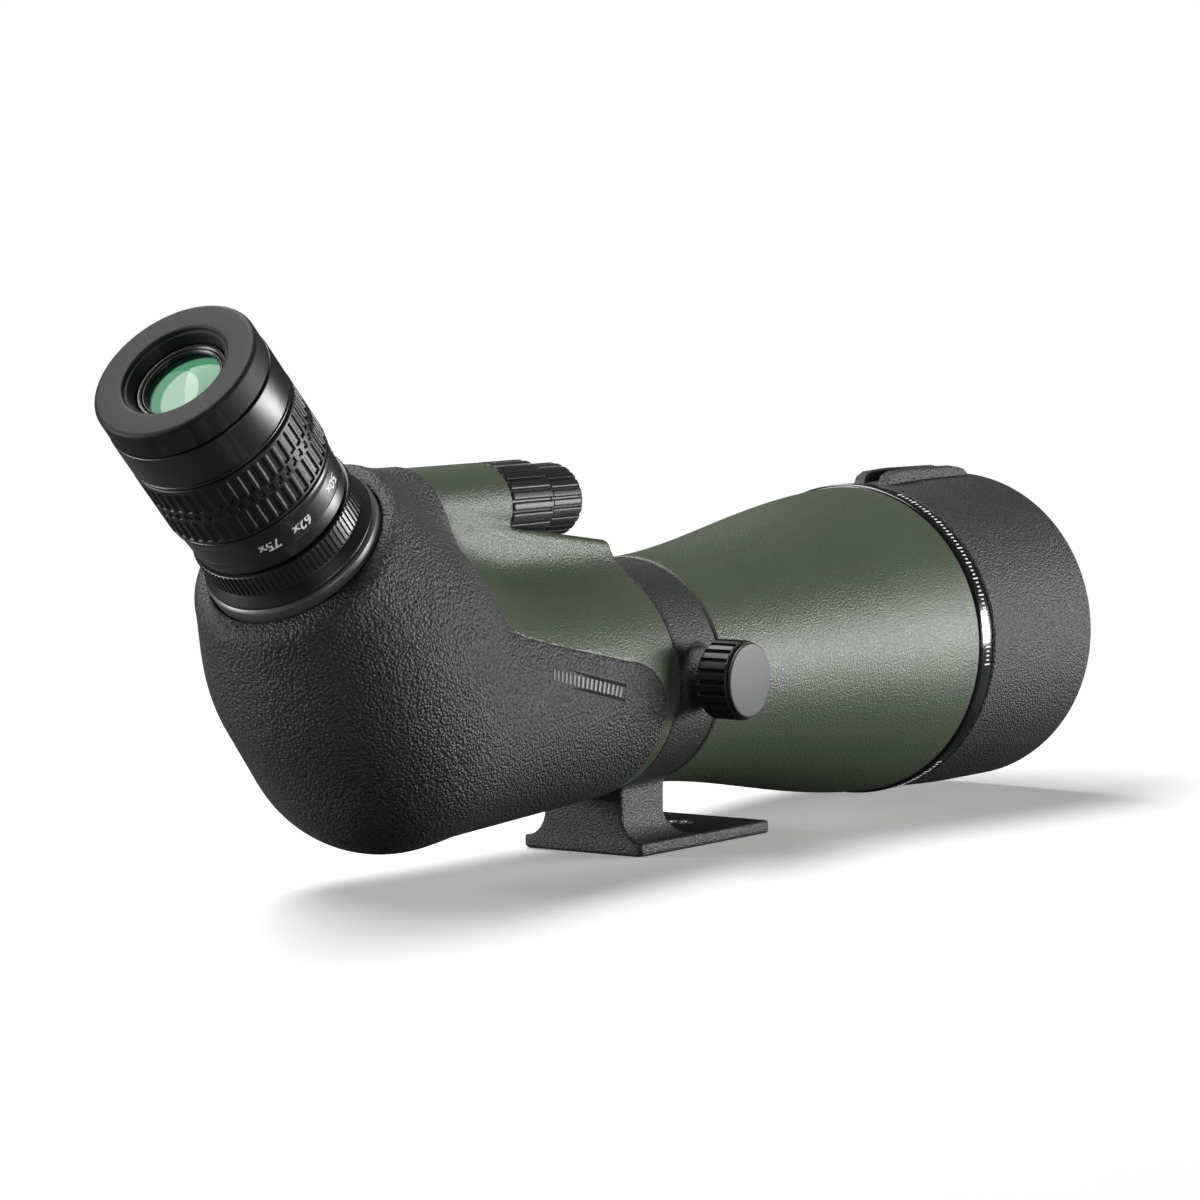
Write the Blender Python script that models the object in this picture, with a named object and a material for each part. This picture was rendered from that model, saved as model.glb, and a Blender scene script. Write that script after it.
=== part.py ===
"""Angled spotting scope on a rotating tripod collar, as the separate pieces it is assembled from.

Sizes are in millimetres and become metres when a mesh is made. The optical frame has its origin on the
barrel's axis: y runs towards the objective, x to the user's right and z up. A turned piece is drawn as a
loop of (radius, height) points about its own axis. The scope stands with the centre of its foot's
underside at the world's origin.
"""

import math

import bmesh
import bpy
import numpy as np

MM = 0.001
GAP = 0.3  # between pieces that touch
RUN = 0.3  # on the radius, where one piece turns or slides in another
THROUGH = 4.0  # how far a cutter runs past the faces that it opens

SIDES_LARGE = 28
SIDES_MEDIUM = 24
SIDES_SMALL = 16
SMOOTH_BELOW = math.radians(38)

# Collar and foot
AXIS_HEIGHT = 54.5
COLLAR_REAR = 16.7
COLLAR_WIDTH = 24.9
COLLAR_WALL = 3.2
COLLAR_TAPER = 0.8
COLLAR_EDGE = 0.8
FOOT_LENGTH = 73.7
FOOT_WIDTH = 44.2
FOOT_THICKNESS = 4.0
FOOT_CHAMFER = 0.8
NECK_HALF_WIDTH = 14.6
NECK_FLARE = 8.6
NECK_CORNER = 2.5
LARGE_BUSH_RADIUS = 6.4
LARGE_THREAD_RADIUS = 4.76
LARGE_BUSH_DEPTH = 12.0
SMALL_BUSH_RADIUS = 4.8
SMALL_THREAD_RADIUS = 3.18
SMALL_BUSH_AHEAD = 17.0  # of the foot's centre
BUSH_RECESS = 0.1  # above the foot's underside

# Collar lock
LOCK_HEIGHT = 0.6
LOCK_BOSS_RADIUS = 9.0
LOCK_BOSS_REACH = 4.6  # beyond the collar
LOCK_KNOB_RADIUS = 12.2
LOCK_KNOB_LENGTH = 11.6
LOCK_CAP_RADIUS = 11.4
LOCK_CAP_THICKNESS = 1.3
LOCK_SCREW_RADIUS = 3.0
LOCK_SCREW_IN_KNOB = 8.0
LOCK_TRAVEL = 1.2
PAD_RADIUS = 6.0
PAD_THICKNESS = 2.0

# Barrel
JOURNAL_RADIUS = 32.6
BARREL_LENGTH = 130.7  # from the collar to the name ring
BARREL_FLARE = 15.4
BARREL_WALL = 2.4
SPIGOT_STEP = 3.0
SPIGOT_LENGTH = 14.0
SPIGOT_WALL = 2.1
FLARE_BEFORE = 7.9  # the flare's curve starts this far behind the collar's front
FLARE_AFTER = 10.4  # and would end this far past the barrel's front

# Objective and hood
CLEAR_APERTURE = 85.0
LENS_RIM = 1.5
CELL_WALL = 3.3
CELL_SPIGOT_LENGTH = 16.0
CELL_SPIGOT_WALL = 1.4
CELL_LENGTH = 53.0
LENS_SEAT = 17.0  # from the cell's shoulder to the rear element
REAR_ELEMENT_EDGE = 7.0
ELEMENT_SPACER = 2.0
FRONT_ELEMENT_EDGE = 10.0
ELEMENT_BULGE = 4.5
RETAINER_WIDTH = 4.0
NAME_RING_WIDTH = 7.2
NAME_RING_RADIUS = 51.45
HOOD_BEHIND = 9.1  # gap groove and name ring, from the barrel's front to the hood
HOOD_LENGTH = 64.2
HOOD_TUBE_WALL = 1.5
HOOD_SLIDE_GAP = 0.4
HOOD_REAR_SKIN = 1.2
HOOD_FRONT_SKIN = 2.2
HOOD_LIP = 1.4
FELT_WIDTH = 4.0
FELT_DEPTH = 1.0
SIGHT_WIDTH = 13.0
SIGHT_NOTCH = 5.0
SIGHT_RISE = 3.6
SIGHT_FROM_REAR = 5.0
SIGHT_LENGTH = 54.0

# Rear body
BODY_WALL = 3.4
ARMOUR_PROUD = 0.6
ARMOUR_DEPTH = 1.0
ARMOUR_GAP = 0.5
ARMOUR_RECESS = ARMOUR_DEPTH + ARMOUR_GAP
HEEL_START = (-85.1, -2.1)
HEEL_END = (-98.8, 13.9)
HEEL_START_RADIUS = 39.9
HEEL_END_RADIUS = 39.6
PORT_BASE_RADIUS = 33.1
PORT_TOP_RADIUS = 30.5
PORT_HEIGHT = 66.5
PORT_BORE_BOTTOM = 34.0
BODY_BLEND = 22.0
FAN_STATIONS = 15
FAN_SIDES = 26
SPINE_BULGE = 4.0

# Focus drive
FOCUS_HEIGHT = 55.2
FOCUS_HOUSING_RADIUS = 12.9
FOCUS_FACE = -36.7
FOCUS_BLEND = 9.0
FOCUS_HOUSING_BEHIND = 22.0  # how far it runs back past the eyepiece's foot
FOCUS_TUNNEL_END = -82.0
WEB_HALF_WIDTH = 13.0
WEB_FRONT = 14.5
WEB_REAR_TOP = 49.4
WEB_FRONT_TOP = 42.5
COARSE_KNOB_RADIUS = 12.9
COARSE_KNOB_LENGTH = 22.1
FINE_KNOB_RADIUS = 11.3
FINE_KNOB_LENGTH = 17.6
FINE_CAP_THICKNESS = 1.2
FINE_SHAFT_SHORT = 6.0  # of the fine knob's end
TROUGH_GAP = 0.7
FOCUS_SHAFT_RADIUS = 3.0
FINE_SHAFT_RADIUS = 1.5
BUSH_WALL = 2.7
NUT_REAR = -58.0
NUT_LENGTH = 8.0
NUT_HALF = 6.0
ARM_HALF_WIDTH = 4.0
ARM_THICKNESS = 3.0
FOCUS_CELL_RADIUS = 22.0
FOCUS_LENS_RADIUS = 18.5
FOCUS_CELL_LENGTH = 8.0
FOCUS_TRAVEL = 9.0  # each way
GUIDE_ROD_RADIUS = 1.2
STOP_THICKNESS = 2.0
REAR_STOP = -48.0
FRONT_STOP = 52.0

# Prism
PRISM_HALF_WIDTH = 19.0
PRISM_FRONT = -54.0
PRISM_ENTRY_HALF = 15.0
PRISM_EXIT_HEIGHT = 22.0  # along the eyepiece's axis
PRISM_EXIT_HALF = 18.0
PRISM_FOOT = (-98.0, -21.0)
HOLDER_WALL = 2.0
CLAMP_THICKNESS = 1.2

# Eyepiece, along its own axis from where that meets the barrel's axis
EYEPIECE_POINT = -76.8
EYEPIECE_ANGLE = math.radians(45.5)
TUBE_RADIUS = 19.0
TUBE_WALL = 2.5
TUBE_BOTTOM = 46.0
BASE_SPIGOT_RADIUS = 24.5
BASE_SPIGOT_BOTTOM = 48.0
BASE_FLANGE_RADIUS = 27.0
BASE_FLANGE_BOTTOM = 60.3
BASE_TOP = 71.8
LOCK_RING_RADIUS = 24.8
LOCK_CONE_TOP = 77.4
LOCK_RING_TOP = 83.5
SCALE_BOTTOM_RADIUS = 23.7
SCALE_TOP_RADIUS = 24.5
SCALE_LENGTH = 14.0
GRIP_WALL = 2.7
GRIP_LENGTH = 22.0
GRIP_RADIUS = 25.3
ZOOM_SLEEVE_WALL = 1.0
ZOOM_CELL_WALL = 2.2
FRONT_ZOOM_AT = 58.0
REAR_ZOOM_AT = 84.0
ZOOM_CELL_LENGTH = 7.0
FIELD_LENS_LENGTH = 6.0
EYE_CELL_RADIUS = 20.8
EYE_CELL_LENGTH = 10.0
EYE_SPIGOT_LENGTH = 7.5
EYE_LENS_RADIUS = 12.2
EYE_LENS_SEAT = 9.2
EYE_NECK_RADIUS = 13.7
EYE_NECK_LENGTH = 7.7
EYE_LENS_EDGE = 6.0
EYE_RETAINER = 1.4
EYECUP_RADIUS = 25.2
EYECUP_WALL = 2.7
EYECUP_FLANGE = 2.0
EYECUP_SLEEVE_LENGTH = 12.8
EYECUP_RUBBER_LENGTH = 8.8
EYECUP_OPENING = 14.2
EYECUP_ROUNDING = 1.6
DETENT_LENGTH = 4.0

# Small fittings on the rear body
BADGE_LENGTH = 43.0
BADGE_HEIGHT = 6.0
BADGE_THICKNESS = 0.6
BADGE_CENTRE = (-35.5, 4.2)
BADGE_SLOPE = math.radians(-12.6)
BADGE_YAW = math.radians(2.6)
PURGE_AT = -40.0
PURGE_HEAD_RADIUS = 4.0
PURGE_SHANK_RADIUS = 3.0
PURGE_HEAD_HEIGHT = 1.4
PURGE_SHANK_LENGTH = 4.5

# What follows from the sizes above
COLLAR_FRONT = COLLAR_REAR + COLLAR_WIDTH
COLLAR_BORE = JOURNAL_RADIUS + RUN
COLLAR_RADIUS = COLLAR_BORE + COLLAR_WALL
BODY_RADIUS = JOURNAL_RADIUS + COLLAR_WALL
BODY_FRONT = COLLAR_REAR - GAP
FOOT_REAR = COLLAR_REAR + 0.4
FOOT_CENTRE = FOOT_REAR + FOOT_LENGTH / 2
LOCK_AT = (COLLAR_REAR + COLLAR_FRONT) / 2
PAD_INNER = COLLAR_BORE
BOSS_END = COLLAR_RADIUS + LOCK_BOSS_REACH
KNOB_INNER = BOSS_END + GAP
BARREL_FRONT = COLLAR_FRONT + GAP + BARREL_LENGTH
LENS_RADIUS = CLEAR_APERTURE / 2 + LENS_RIM
CELL_BORE = LENS_RADIUS + GAP
CELL_RADIUS = CELL_BORE + CELL_WALL
CELL_SPIGOT_RADIUS = CELL_BORE + CELL_SPIGOT_WALL
MOUTH_RADIUS = CELL_SPIGOT_RADIUS + GAP
CELL_SHOULDER = BARREL_FRONT + GAP
CELL_FRONT = CELL_SHOULDER + CELL_LENGTH
REAR_ELEMENT = CELL_SHOULDER + LENS_SEAT + GAP
SPACER_AT = REAR_ELEMENT + REAR_ELEMENT_EDGE + GAP
FRONT_ELEMENT = SPACER_AT + ELEMENT_SPACER + GAP
RETAINER_AT = FRONT_ELEMENT + FRONT_ELEMENT_EDGE + GAP
HOOD_REAR = BARREL_FRONT + HOOD_BEHIND
HOOD_FRONT = HOOD_REAR + HOOD_LENGTH
HOOD_BORE = CELL_RADIUS + HOOD_SLIDE_GAP
HOOD_TUBE_RADIUS = HOOD_BORE + HOOD_TUBE_WALL
SKIN_BORE = HOOD_TUBE_RADIUS + GAP
HOOD_REAR_RADIUS = SKIN_BORE + HOOD_REAR_SKIN
HOOD_RADIUS = SKIN_BORE + HOOD_FRONT_SKIN
FELT_AT = CELL_FRONT - FELT_WIDTH - 3.0
SPIGOT_RADIUS = JOURNAL_RADIUS - SPIGOT_STEP
SPIGOT_BORE = SPIGOT_RADIUS - SPIGOT_WALL
SPIGOT_END = BODY_FRONT - SPIGOT_LENGTH
TUNNEL_RADIUS = FOCUS_HOUSING_RADIUS - BODY_WALL
COARSE_REAR = FOCUS_FACE + GAP
COARSE_FRONT = COARSE_REAR + COARSE_KNOB_LENGTH
FINE_REAR = COARSE_FRONT + 2 * GAP
FINE_FRONT = FINE_REAR + FINE_KNOB_LENGTH
ROD_AT = FOCUS_CELL_RADIUS + GAP + GUIDE_ROD_RADIUS
TUBE_BORE = TUBE_RADIUS - TUBE_WALL
TUBE_TOP = LOCK_RING_TOP + GAP + SCALE_LENGTH + GAP + GRIP_LENGTH
SCALE_BOTTOM = LOCK_RING_TOP + 2 * GAP
SCALE_TOP = SCALE_BOTTOM + SCALE_LENGTH
GRIP_BOTTOM = SCALE_TOP + GAP
GRIP_TOP = GRIP_BOTTOM + GRIP_LENGTH
GRIP_BORE = GRIP_RADIUS - GRIP_WALL
CAM_RADIUS = TUBE_BORE - RUN
ZOOM_CELL_RADIUS = CAM_RADIUS - ZOOM_SLEEVE_WALL - RUN
EYE_CELL_BOTTOM = TUBE_TOP + GAP
EYE_CELL_TOP = EYE_CELL_BOTTOM + EYE_CELL_LENGTH
EYE_NECK_TOP = EYE_CELL_TOP + EYE_NECK_LENGTH
EYE_LENS_AT = EYE_CELL_BOTTOM + EYE_LENS_SEAT + GAP
EYE_RETAINER_AT = EYE_LENS_AT + EYE_LENS_EDGE + GAP
SLEEVE_BOTTOM = GRIP_TOP + GAP
SLEEVE_TOP = SLEEVE_BOTTOM + EYECUP_SLEEVE_LENGTH
RUBBER_BOTTOM = SLEEVE_TOP + GAP
RUBBER_TOP = RUBBER_BOTTOM + EYECUP_RUBBER_LENGTH
EYE_DIRECTION = np.array([0.0, -math.sin(EYEPIECE_ANGLE), math.cos(EYEPIECE_ANGLE)])
EYE_ACROSS = np.array([0.0, math.cos(EYEPIECE_ANGLE), math.sin(EYEPIECE_ANGLE)])
EYE_ORIGIN = np.array([0.0, EYEPIECE_POINT, 0.0])

FINISHES = {
    "green": ((0.16, 0.19, 0.13), 0.45, 0.2),
    "armour": ((0.012, 0.012, 0.012), 0.75, 0.0),
    "crinkle": ((0.02, 0.02, 0.02), 0.6, 0.1),
    "gloss black": ((0.006, 0.006, 0.006), 0.2, 0.0),
    "satin black": ((0.012, 0.012, 0.012), 0.4, 0.3),
    "rubber": ((0.015, 0.015, 0.015), 0.8, 0.0),
    "grey": ((0.25, 0.25, 0.25), 0.4, 0.6),
    "steel": ((0.55, 0.55, 0.54), 0.3, 1.0),
    "brass": ((0.7, 0.5, 0.2), 0.35, 1.0),
    "glass": ((0.5, 0.8, 0.6), 0.05, 0.0),
}


# Scene helpers


def clear_scene():
    for item in list(bpy.data.objects):
        bpy.data.objects.remove(item, do_unlink=True)


def axis_empty(name, place, turn, parent=None):
    empty = bpy.data.objects.new(name, None)
    empty.location = [v * MM for v in place]
    empty.rotation_euler = turn
    empty.parent = parent
    bpy.context.scene.collection.objects.link(empty)
    return empty


def finish_of(name, finish):
    colour, roughness, metallic = FINISHES[finish]
    material = bpy.data.materials.new(name + "_finish")
    material.use_nodes = True
    shader = material.node_tree.nodes["Principled BSDF"]
    shader.inputs["Base Color"].default_value = (*colour, 1.0)
    shader.inputs["Roughness"].default_value = roughness
    shader.inputs["Metallic"].default_value = metallic
    return material


def make_piece(name, parent, shape, finish=None):
    """An object from a bmesh in millimetres. With no finish it is a cutter, which stays out of the model."""
    bmesh.ops.scale(shape, vec=(MM, MM, MM), verts=shape.verts)
    bmesh.ops.recalc_face_normals(shape, faces=shape.faces)
    mesh = bpy.data.meshes.new(name)
    shape.to_mesh(mesh)
    shape.free()
    mesh.shade_smooth()
    mesh.set_sharp_from_angle(angle=SMOOTH_BELOW)
    piece = bpy.data.objects.new(name, mesh)
    piece.parent = parent
    bpy.context.scene.collection.objects.link(piece)
    if finish:
        mesh.materials.append(finish_of(name, finish))
    else:
        piece.hide_render = True
        piece.display_type = "WIRE"
    return piece


def combine(piece, other, operation="DIFFERENCE", solver="EXACT"):
    """Cuts the other shape from the piece, or joins or keeps what they share, and makes it a helper."""
    other.hide_render = True
    other.display_type = "WIRE"
    modifier = piece.modifiers.new(f"{operation.lower()} {other.name}", "BOOLEAN")
    modifier.operation = operation
    modifier.solver = solver
    modifier.object = other


# Shapes


def turned(name, parent, loop, finish=None, sides=SIDES_MEDIUM, flutes=0.0):
    """A solid turned about its own z from a closed loop of (radius, height) points.

    Where a loop point has a third value of True, every second side of it lies deeper by flutes.
    """
    shape = bmesh.new()
    rings = []
    for point in loop:
        radius, height = point[0], point[1]
        fluted = len(point) > 2 and point[2]
        if radius <= 0:
            rings.append([shape.verts.new((0.0, 0.0, height))] * sides)
            continue
        ring = []
        for side in range(sides):
            angle = 2 * math.pi * side / sides
            reach = radius - (flutes if fluted and side % 2 else 0.0)
            ring.append(shape.verts.new((reach * math.cos(angle), reach * math.sin(angle), height)))
        rings.append(ring)
    for low, high in zip(rings, rings[1:] + rings[:1]):
        for side in range(sides):
            after = (side + 1) % sides
            corners = [low[side], low[after], high[after], high[side]]
            corners = list(dict.fromkeys(corners))
            if len(corners) > 2:
                shape.faces.new(corners)
    return make_piece(name, parent, shape, finish)


def rod(name, parent, radius, low, high, finish=None, sides=SIDES_MEDIUM):
    return turned(name, parent, [(0, low), (radius, low), (radius, high), (0, high)], finish, sides)


def tube(name, parent, bore, radius, low, high, finish=None, sides=SIDES_MEDIUM):
    return turned(name, parent, [(bore, low), (radius, low), (radius, high), (bore, high)], finish, sides)


def lens_loop(radius, low, high, front_bulge, rear_bulge):
    """A disc with a rounded face at each end; a negative bulge hollows the face."""
    steps = 3
    loop = [(radius * i / steps, low - rear_bulge * (1 - (i / steps) ** 2)) for i in range(steps + 1)]
    loop += [(radius * i / steps, high + front_bulge * (1 - (i / steps) ** 2)) for i in range(steps, -1, -1)]
    return loop


def lofted(name, parent, rings, finish=None):
    """A solid through rings of points, closed at both ends."""
    shape = bmesh.new()
    rows = [[shape.verts.new(point) for point in ring] for ring in rings]
    count = len(rows[0])
    for low, high in zip(rows, rows[1:]):
        for i in range(count):
            after = (i + 1) % count
            shape.faces.new((low[i], low[after], high[after], high[i]))
    for row, ring in ((rows[0], rings[0]), (rows[-1], rings[-1])):
        middle = shape.verts.new(np.mean(ring, axis=0))
        for i in range(count):
            shape.faces.new((row[i], row[(i + 1) % count], middle))
    return make_piece(name, parent, shape, finish)


def side_plate(name, parent, outline, left, right, finish=None):
    """A closed (y, z) outline extruded along x."""
    shape = bmesh.new()
    near = [shape.verts.new((left, y, z)) for y, z in outline]
    far = [shape.verts.new((right, y, z)) for y, z in outline]
    shape.faces.new(near)
    shape.faces.new(far)
    for i in range(len(outline)):
        after = (i + 1) % len(outline)
        shape.faces.new((near[i], near[after], far[after], far[i]))
    return make_piece(name, parent, shape, finish)


def block(name, parent, low, high, finish=None):
    outline = [(low[1], low[2]), (high[1], low[2]), (high[1], high[2]), (low[1], high[2])]
    return side_plate(name, parent, outline, low[0], high[0], finish)


def curve_through(points, steps):
    """A smooth line through the points."""
    points = np.array(points, float)
    padded = np.vstack([2 * points[0] - points[1], points, 2 * points[-1] - points[-2]])
    line = []
    for i in range(1, len(padded) - 2):
        before, start, end, beyond = padded[i - 1 : i + 3]
        for t in np.arange(steps) / steps:
            line.append(
                0.5 * (2 * start + (end - before) * t + (2 * before - 5 * start + 4 * end - beyond) * t * t
                       + (3 * start - before - 3 * end + beyond) * t**3)
            )
    line.append(points[-1])
    return np.array(line)


# Rear body: a field that is negative inside, sampled on section planes that turn from barrel to eyepiece


def smooth_union(first, second, blend):
    share = np.clip(0.5 + 0.5 * (second - first) / blend, 0, 1)
    return second + (first - second) * share - blend * share * (1 - share)


def round_cone(x, y, z, start, end, start_radius, end_radius):
    dy, dz = end[0] - start[0], end[1] - start[1]
    along = np.clip(((y - start[0]) * dy + (z - start[1]) * dz) / (dy * dy + dz * dz), 0, 1)
    away = np.sqrt(x * x + (y - start[0] - along * dy) ** 2 + (z - start[1] - along * dz) ** 2)
    return away - (start_radius + along * (end_radius - start_radius))


def body_field(x, y, z):
    """Distance outside the prism housing: barrel, heel and eyepiece port run into each other."""
    barrel = round_cone(x, y, z, (BODY_FRONT + 14, 0.0), HEEL_START, BODY_RADIUS, HEEL_START_RADIUS)
    heel = round_cone(x, y, z, HEEL_START, HEEL_END, HEEL_START_RADIUS, HEEL_END_RADIUS)
    height = (y - EYEPIECE_POINT) * EYE_DIRECTION[1] + z * EYE_DIRECTION[2]
    away = np.hypot(x, (y - EYEPIECE_POINT) * EYE_ACROSS[1] + z * EYE_ACROSS[2])
    radius = PORT_BASE_RADIUS + (PORT_TOP_RADIUS - PORT_BASE_RADIUS) * np.clip(height / PORT_HEIGHT, 0, 1)
    port = np.maximum(away - radius, -height - 10)
    return smooth_union(np.minimum(barrel, heel), port, BODY_BLEND)


def whole_field(x, y, z):
    """The prism housing with the focus housing and the web under the knobs."""
    across = np.hypot(x, z - FOCUS_HEIGHT)
    focus = np.maximum(across - FOCUS_HOUSING_RADIUS, y - FOCUS_FACE - THROUGH)
    slope = (WEB_FRONT_TOP - WEB_REAR_TOP) / (WEB_FRONT - FOCUS_FACE)
    top = WEB_REAR_TOP + slope * (y - FOCUS_FACE)
    web = np.maximum.reduce([np.abs(x) - WEB_HALF_WIDTH, z - top, -z, y - WEB_FRONT])
    raised = smooth_union(focus, web, 2.0)
    raised = np.maximum(raised, EYEPIECE_POINT - FOCUS_HOUSING_BEHIND - y)
    return smooth_union(body_field(x, y, z), raised, FOCUS_BLEND)


def fan_pivot():
    """Where the plane of the barrel's joint meets the plane of the eyepiece port."""
    height = (PORT_HEIGHT - (BODY_FRONT - EYEPIECE_POINT) * EYE_DIRECTION[1]) / EYE_DIRECTION[2]
    return np.array([0.0, BODY_FRONT, height])


FAN_END = math.pi / 2 - EYEPIECE_ANGLE
FAN_ANGLES = np.linspace(0.0, FAN_END, FAN_STATIONS)
LONG_FAN_ANGLES = np.concatenate([[-0.03], FAN_ANGLES, [FAN_END + 0.03]])  # runs past both open ends
HOLLOW_ANGLES = np.linspace(0.035, FAN_END - 0.06, FAN_STATIONS - 4)


def fan_rings(field, outside, angles, sides=FAN_SIDES):
    """Rings of points on the surface that lies this far outside the field's own."""
    pivot = fan_pivot()
    start_reach = pivot[2]
    end_reach = np.linalg.norm(EYE_ORIGIN + PORT_HEIGHT * EYE_DIRECTION - pivot)
    rings = []
    reach = np.arange(90.0, 4.0, -0.5)
    turn = 2 * math.pi * (np.arange(sides) + 0.5) / sides
    for angle in angles:
        share = angle / FAN_END
        down = np.array([0.0, -math.sin(angle), -math.cos(angle)])
        spine = start_reach + (end_reach - start_reach) * share + SPINE_BULGE * math.sin(math.pi * share)
        centre = pivot + spine * down
        rays = np.cos(turn)[:, None] * np.array([1.0, 0.0, 0.0]) + np.sin(turn)[:, None] * down
        points = centre + reach[None, :, None] * rays[:, None, :]
        depth = field(points[..., 0], points[..., 1], points[..., 2]) - outside
        inside = np.argmax(depth < 0, axis=1)
        rows = np.arange(sides)
        before, after = depth[rows, inside - 1], depth[rows, inside]
        away = reach[inside - 1] - 0.5 * before / (before - after)
        rings.append(centre + away[:, None] * rays)
    return rings


def armour_edge(inset):
    """The armour's front edge seen from the side, from the top of the focus housing down and forwards."""
    line = curve_through(
        [(-78, 84), (-76, 70), (-70.5, 55), (-66.5, 42), (-69, 33), (-70.5, 27), (-66, 21.5), (-54, 18.2),
         (-33, 13.8), (-13, 9.7), (-2, 7.4), (5.6, 2.9), (9.8, -4), (11, -12), (11, -26), (11, -60)],
        3,
    )
    along = np.gradient(line, axis=0)
    along /= np.linalg.norm(along, axis=1)[:, None]
    across = np.stack([along[:, 1], -along[:, 0]], axis=1)
    return line + inset * across


def armour_region(name, parent, inset=0.0):
    edge = [tuple(point) for point in armour_edge(inset)]
    outline = edge + [(-190.0, -60.0), (-190.0, 130.0), (-78.0 - inset, 130.0)]
    return side_plate(name, parent, outline, -75.0, 75.0)


# Collar and foot


def neck_rings():
    """Level sections of the neck, which flares into the foot at both sides and in front."""
    top = -COLLAR_BORE - 0.5 * COLLAR_WALL
    plate_top = -AXIS_HEIGHT + FOOT_THICKNESS
    heights = [top]
    flares = [0.0]
    for step in range(7):
        turn = math.pi / 2 * step / 6
        heights.append(plate_top + NECK_FLARE * (1 - math.sin(turn)) + 0.01)
        flares.append(NECK_FLARE * (1 - math.cos(turn)))
    heights.append(plate_top - FOOT_THICKNESS / 2)
    flares.append(flares[-1])
    rings = []
    for height, flare in zip(heights, flares):
        half = NECK_HALF_WIDTH + (FOOT_WIDTH / 2 - FOOT_CHAMFER - NECK_HALF_WIDTH) * flare / NECK_FLARE
        front = COLLAR_FRONT - 0.6 + flare
        corner = NECK_CORNER
        ring = []
        for x, y, start in (
            (half - corner, FOOT_REAR + corner + 0.4, -90),
            (half - corner, front - corner, 0),
            (-half + corner, front - corner, 90),
            (-half + corner, FOOT_REAR + corner + 0.4, 180),
        ):
            for step in range(3):
                turn = math.radians(start + 45 * step)
                ring.append((x + corner * math.cos(turn), y + corner * math.sin(turn), height))
        rings.append(ring)
    return rings


def foot_rings():
    """Level sections of the foot plate, chamfered above."""
    bottom = -AXIS_HEIGHT
    rings = []
    for height, inset in (
        (bottom, 0.5),
        (bottom + 0.5, 0.0),
        (bottom + FOOT_THICKNESS - FOOT_CHAMFER, 0.0),
        (bottom + FOOT_THICKNESS, FOOT_CHAMFER),
    ):
        half = FOOT_WIDTH / 2 - inset
        rear, front = FOOT_REAR + inset, FOOT_REAR + FOOT_LENGTH - inset
        corners = ((half, rear), (half, front), (-half, front), (-half, rear))
        rings.append([(x, y, height) for x, y in corners])
    return rings


def build_collar(optical, barrel_axis, lock_axis):
    """The collar, neck and foot in one piece, and the foot's two threads.

    Its cuts use the Manifold solver, because Exact leaves open edges where the bore meets the neck.
    """
    edge = COLLAR_EDGE
    collar = turned(
        "tripod_collar",
        barrel_axis,
        [
            (COLLAR_BORE, COLLAR_REAR),
            (COLLAR_RADIUS - edge, COLLAR_REAR),
            (COLLAR_RADIUS, COLLAR_REAR + edge),
            (COLLAR_RADIUS - COLLAR_TAPER, COLLAR_FRONT - edge),
            (COLLAR_RADIUS - COLLAR_TAPER - edge, COLLAR_FRONT),
            (COLLAR_BORE, COLLAR_FRONT),
        ],
        "crinkle",
        SIDES_LARGE,
    )
    boss = turned(
        "lock_boss",
        lock_axis,
        [(0, COLLAR_BORE + 1), (LOCK_BOSS_RADIUS, COLLAR_BORE - 4), (LOCK_BOSS_RADIUS, BOSS_END - 1),
         (LOCK_BOSS_RADIUS - 1, BOSS_END), (0, BOSS_END)],
        sides=SIDES_SMALL,
    )
    for added in (lofted("neck", optical, neck_rings()), lofted("foot_plate", optical, foot_rings()), boss):
        combine(collar, added, "UNION", "MANIFOLD")
    bottom = -AXIS_HEIGHT
    large_at, small_at = thread_places()
    large = axis_empty("large_thread_axis", (0, large_at, 0), (0, 0, 0), optical)
    small = axis_empty("small_thread_axis", (0, small_at, 0), (0, 0, 0), optical)
    pocket_end = PAD_INNER + PAD_THICKNESS + LOCK_TRAVEL + GAP
    for name, axis, radius, low, high, sides in (
        ("collar_bore", barrel_axis, COLLAR_BORE, COLLAR_REAR - THROUGH, COLLAR_FRONT + THROUGH, SIDES_LARGE),
        ("pad_pocket", lock_axis, PAD_RADIUS + GAP, COLLAR_BORE - 6, pocket_end, SIDES_SMALL),
        ("lock_screw_hole", lock_axis, LOCK_SCREW_RADIUS + GAP, pocket_end - 1, BOSS_END + THROUGH,
         SIDES_SMALL),
        ("large_bush_hole", large, LARGE_BUSH_RADIUS + GAP, bottom - THROUGH, bottom + LARGE_BUSH_DEPTH + GAP,
         SIDES_SMALL),
        ("small_bush_hole", small, SMALL_BUSH_RADIUS + GAP, bottom - THROUGH,
         bottom + FOOT_THICKNESS + THROUGH, SIDES_SMALL),
    ):
        combine(collar, rod(name, axis, radius, low, high, None, sides), "DIFFERENCE", "MANIFOLD")
    tube("large_thread_bush", large, LARGE_THREAD_RADIUS, LARGE_BUSH_RADIUS, bottom + BUSH_RECESS,
         bottom + LARGE_BUSH_DEPTH, "steel", SIDES_SMALL)
    tube("small_thread_bush", small, SMALL_THREAD_RADIUS, SMALL_BUSH_RADIUS, bottom + BUSH_RECESS,
         bottom + FOOT_THICKNESS, "steel", SIDES_SMALL)


def thread_places():
    """Where the two threads lie along the foot: one under the neck, one ahead of the foot's centre."""
    return LOCK_AT, FOOT_CENTRE + SMALL_BUSH_AHEAD


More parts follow.
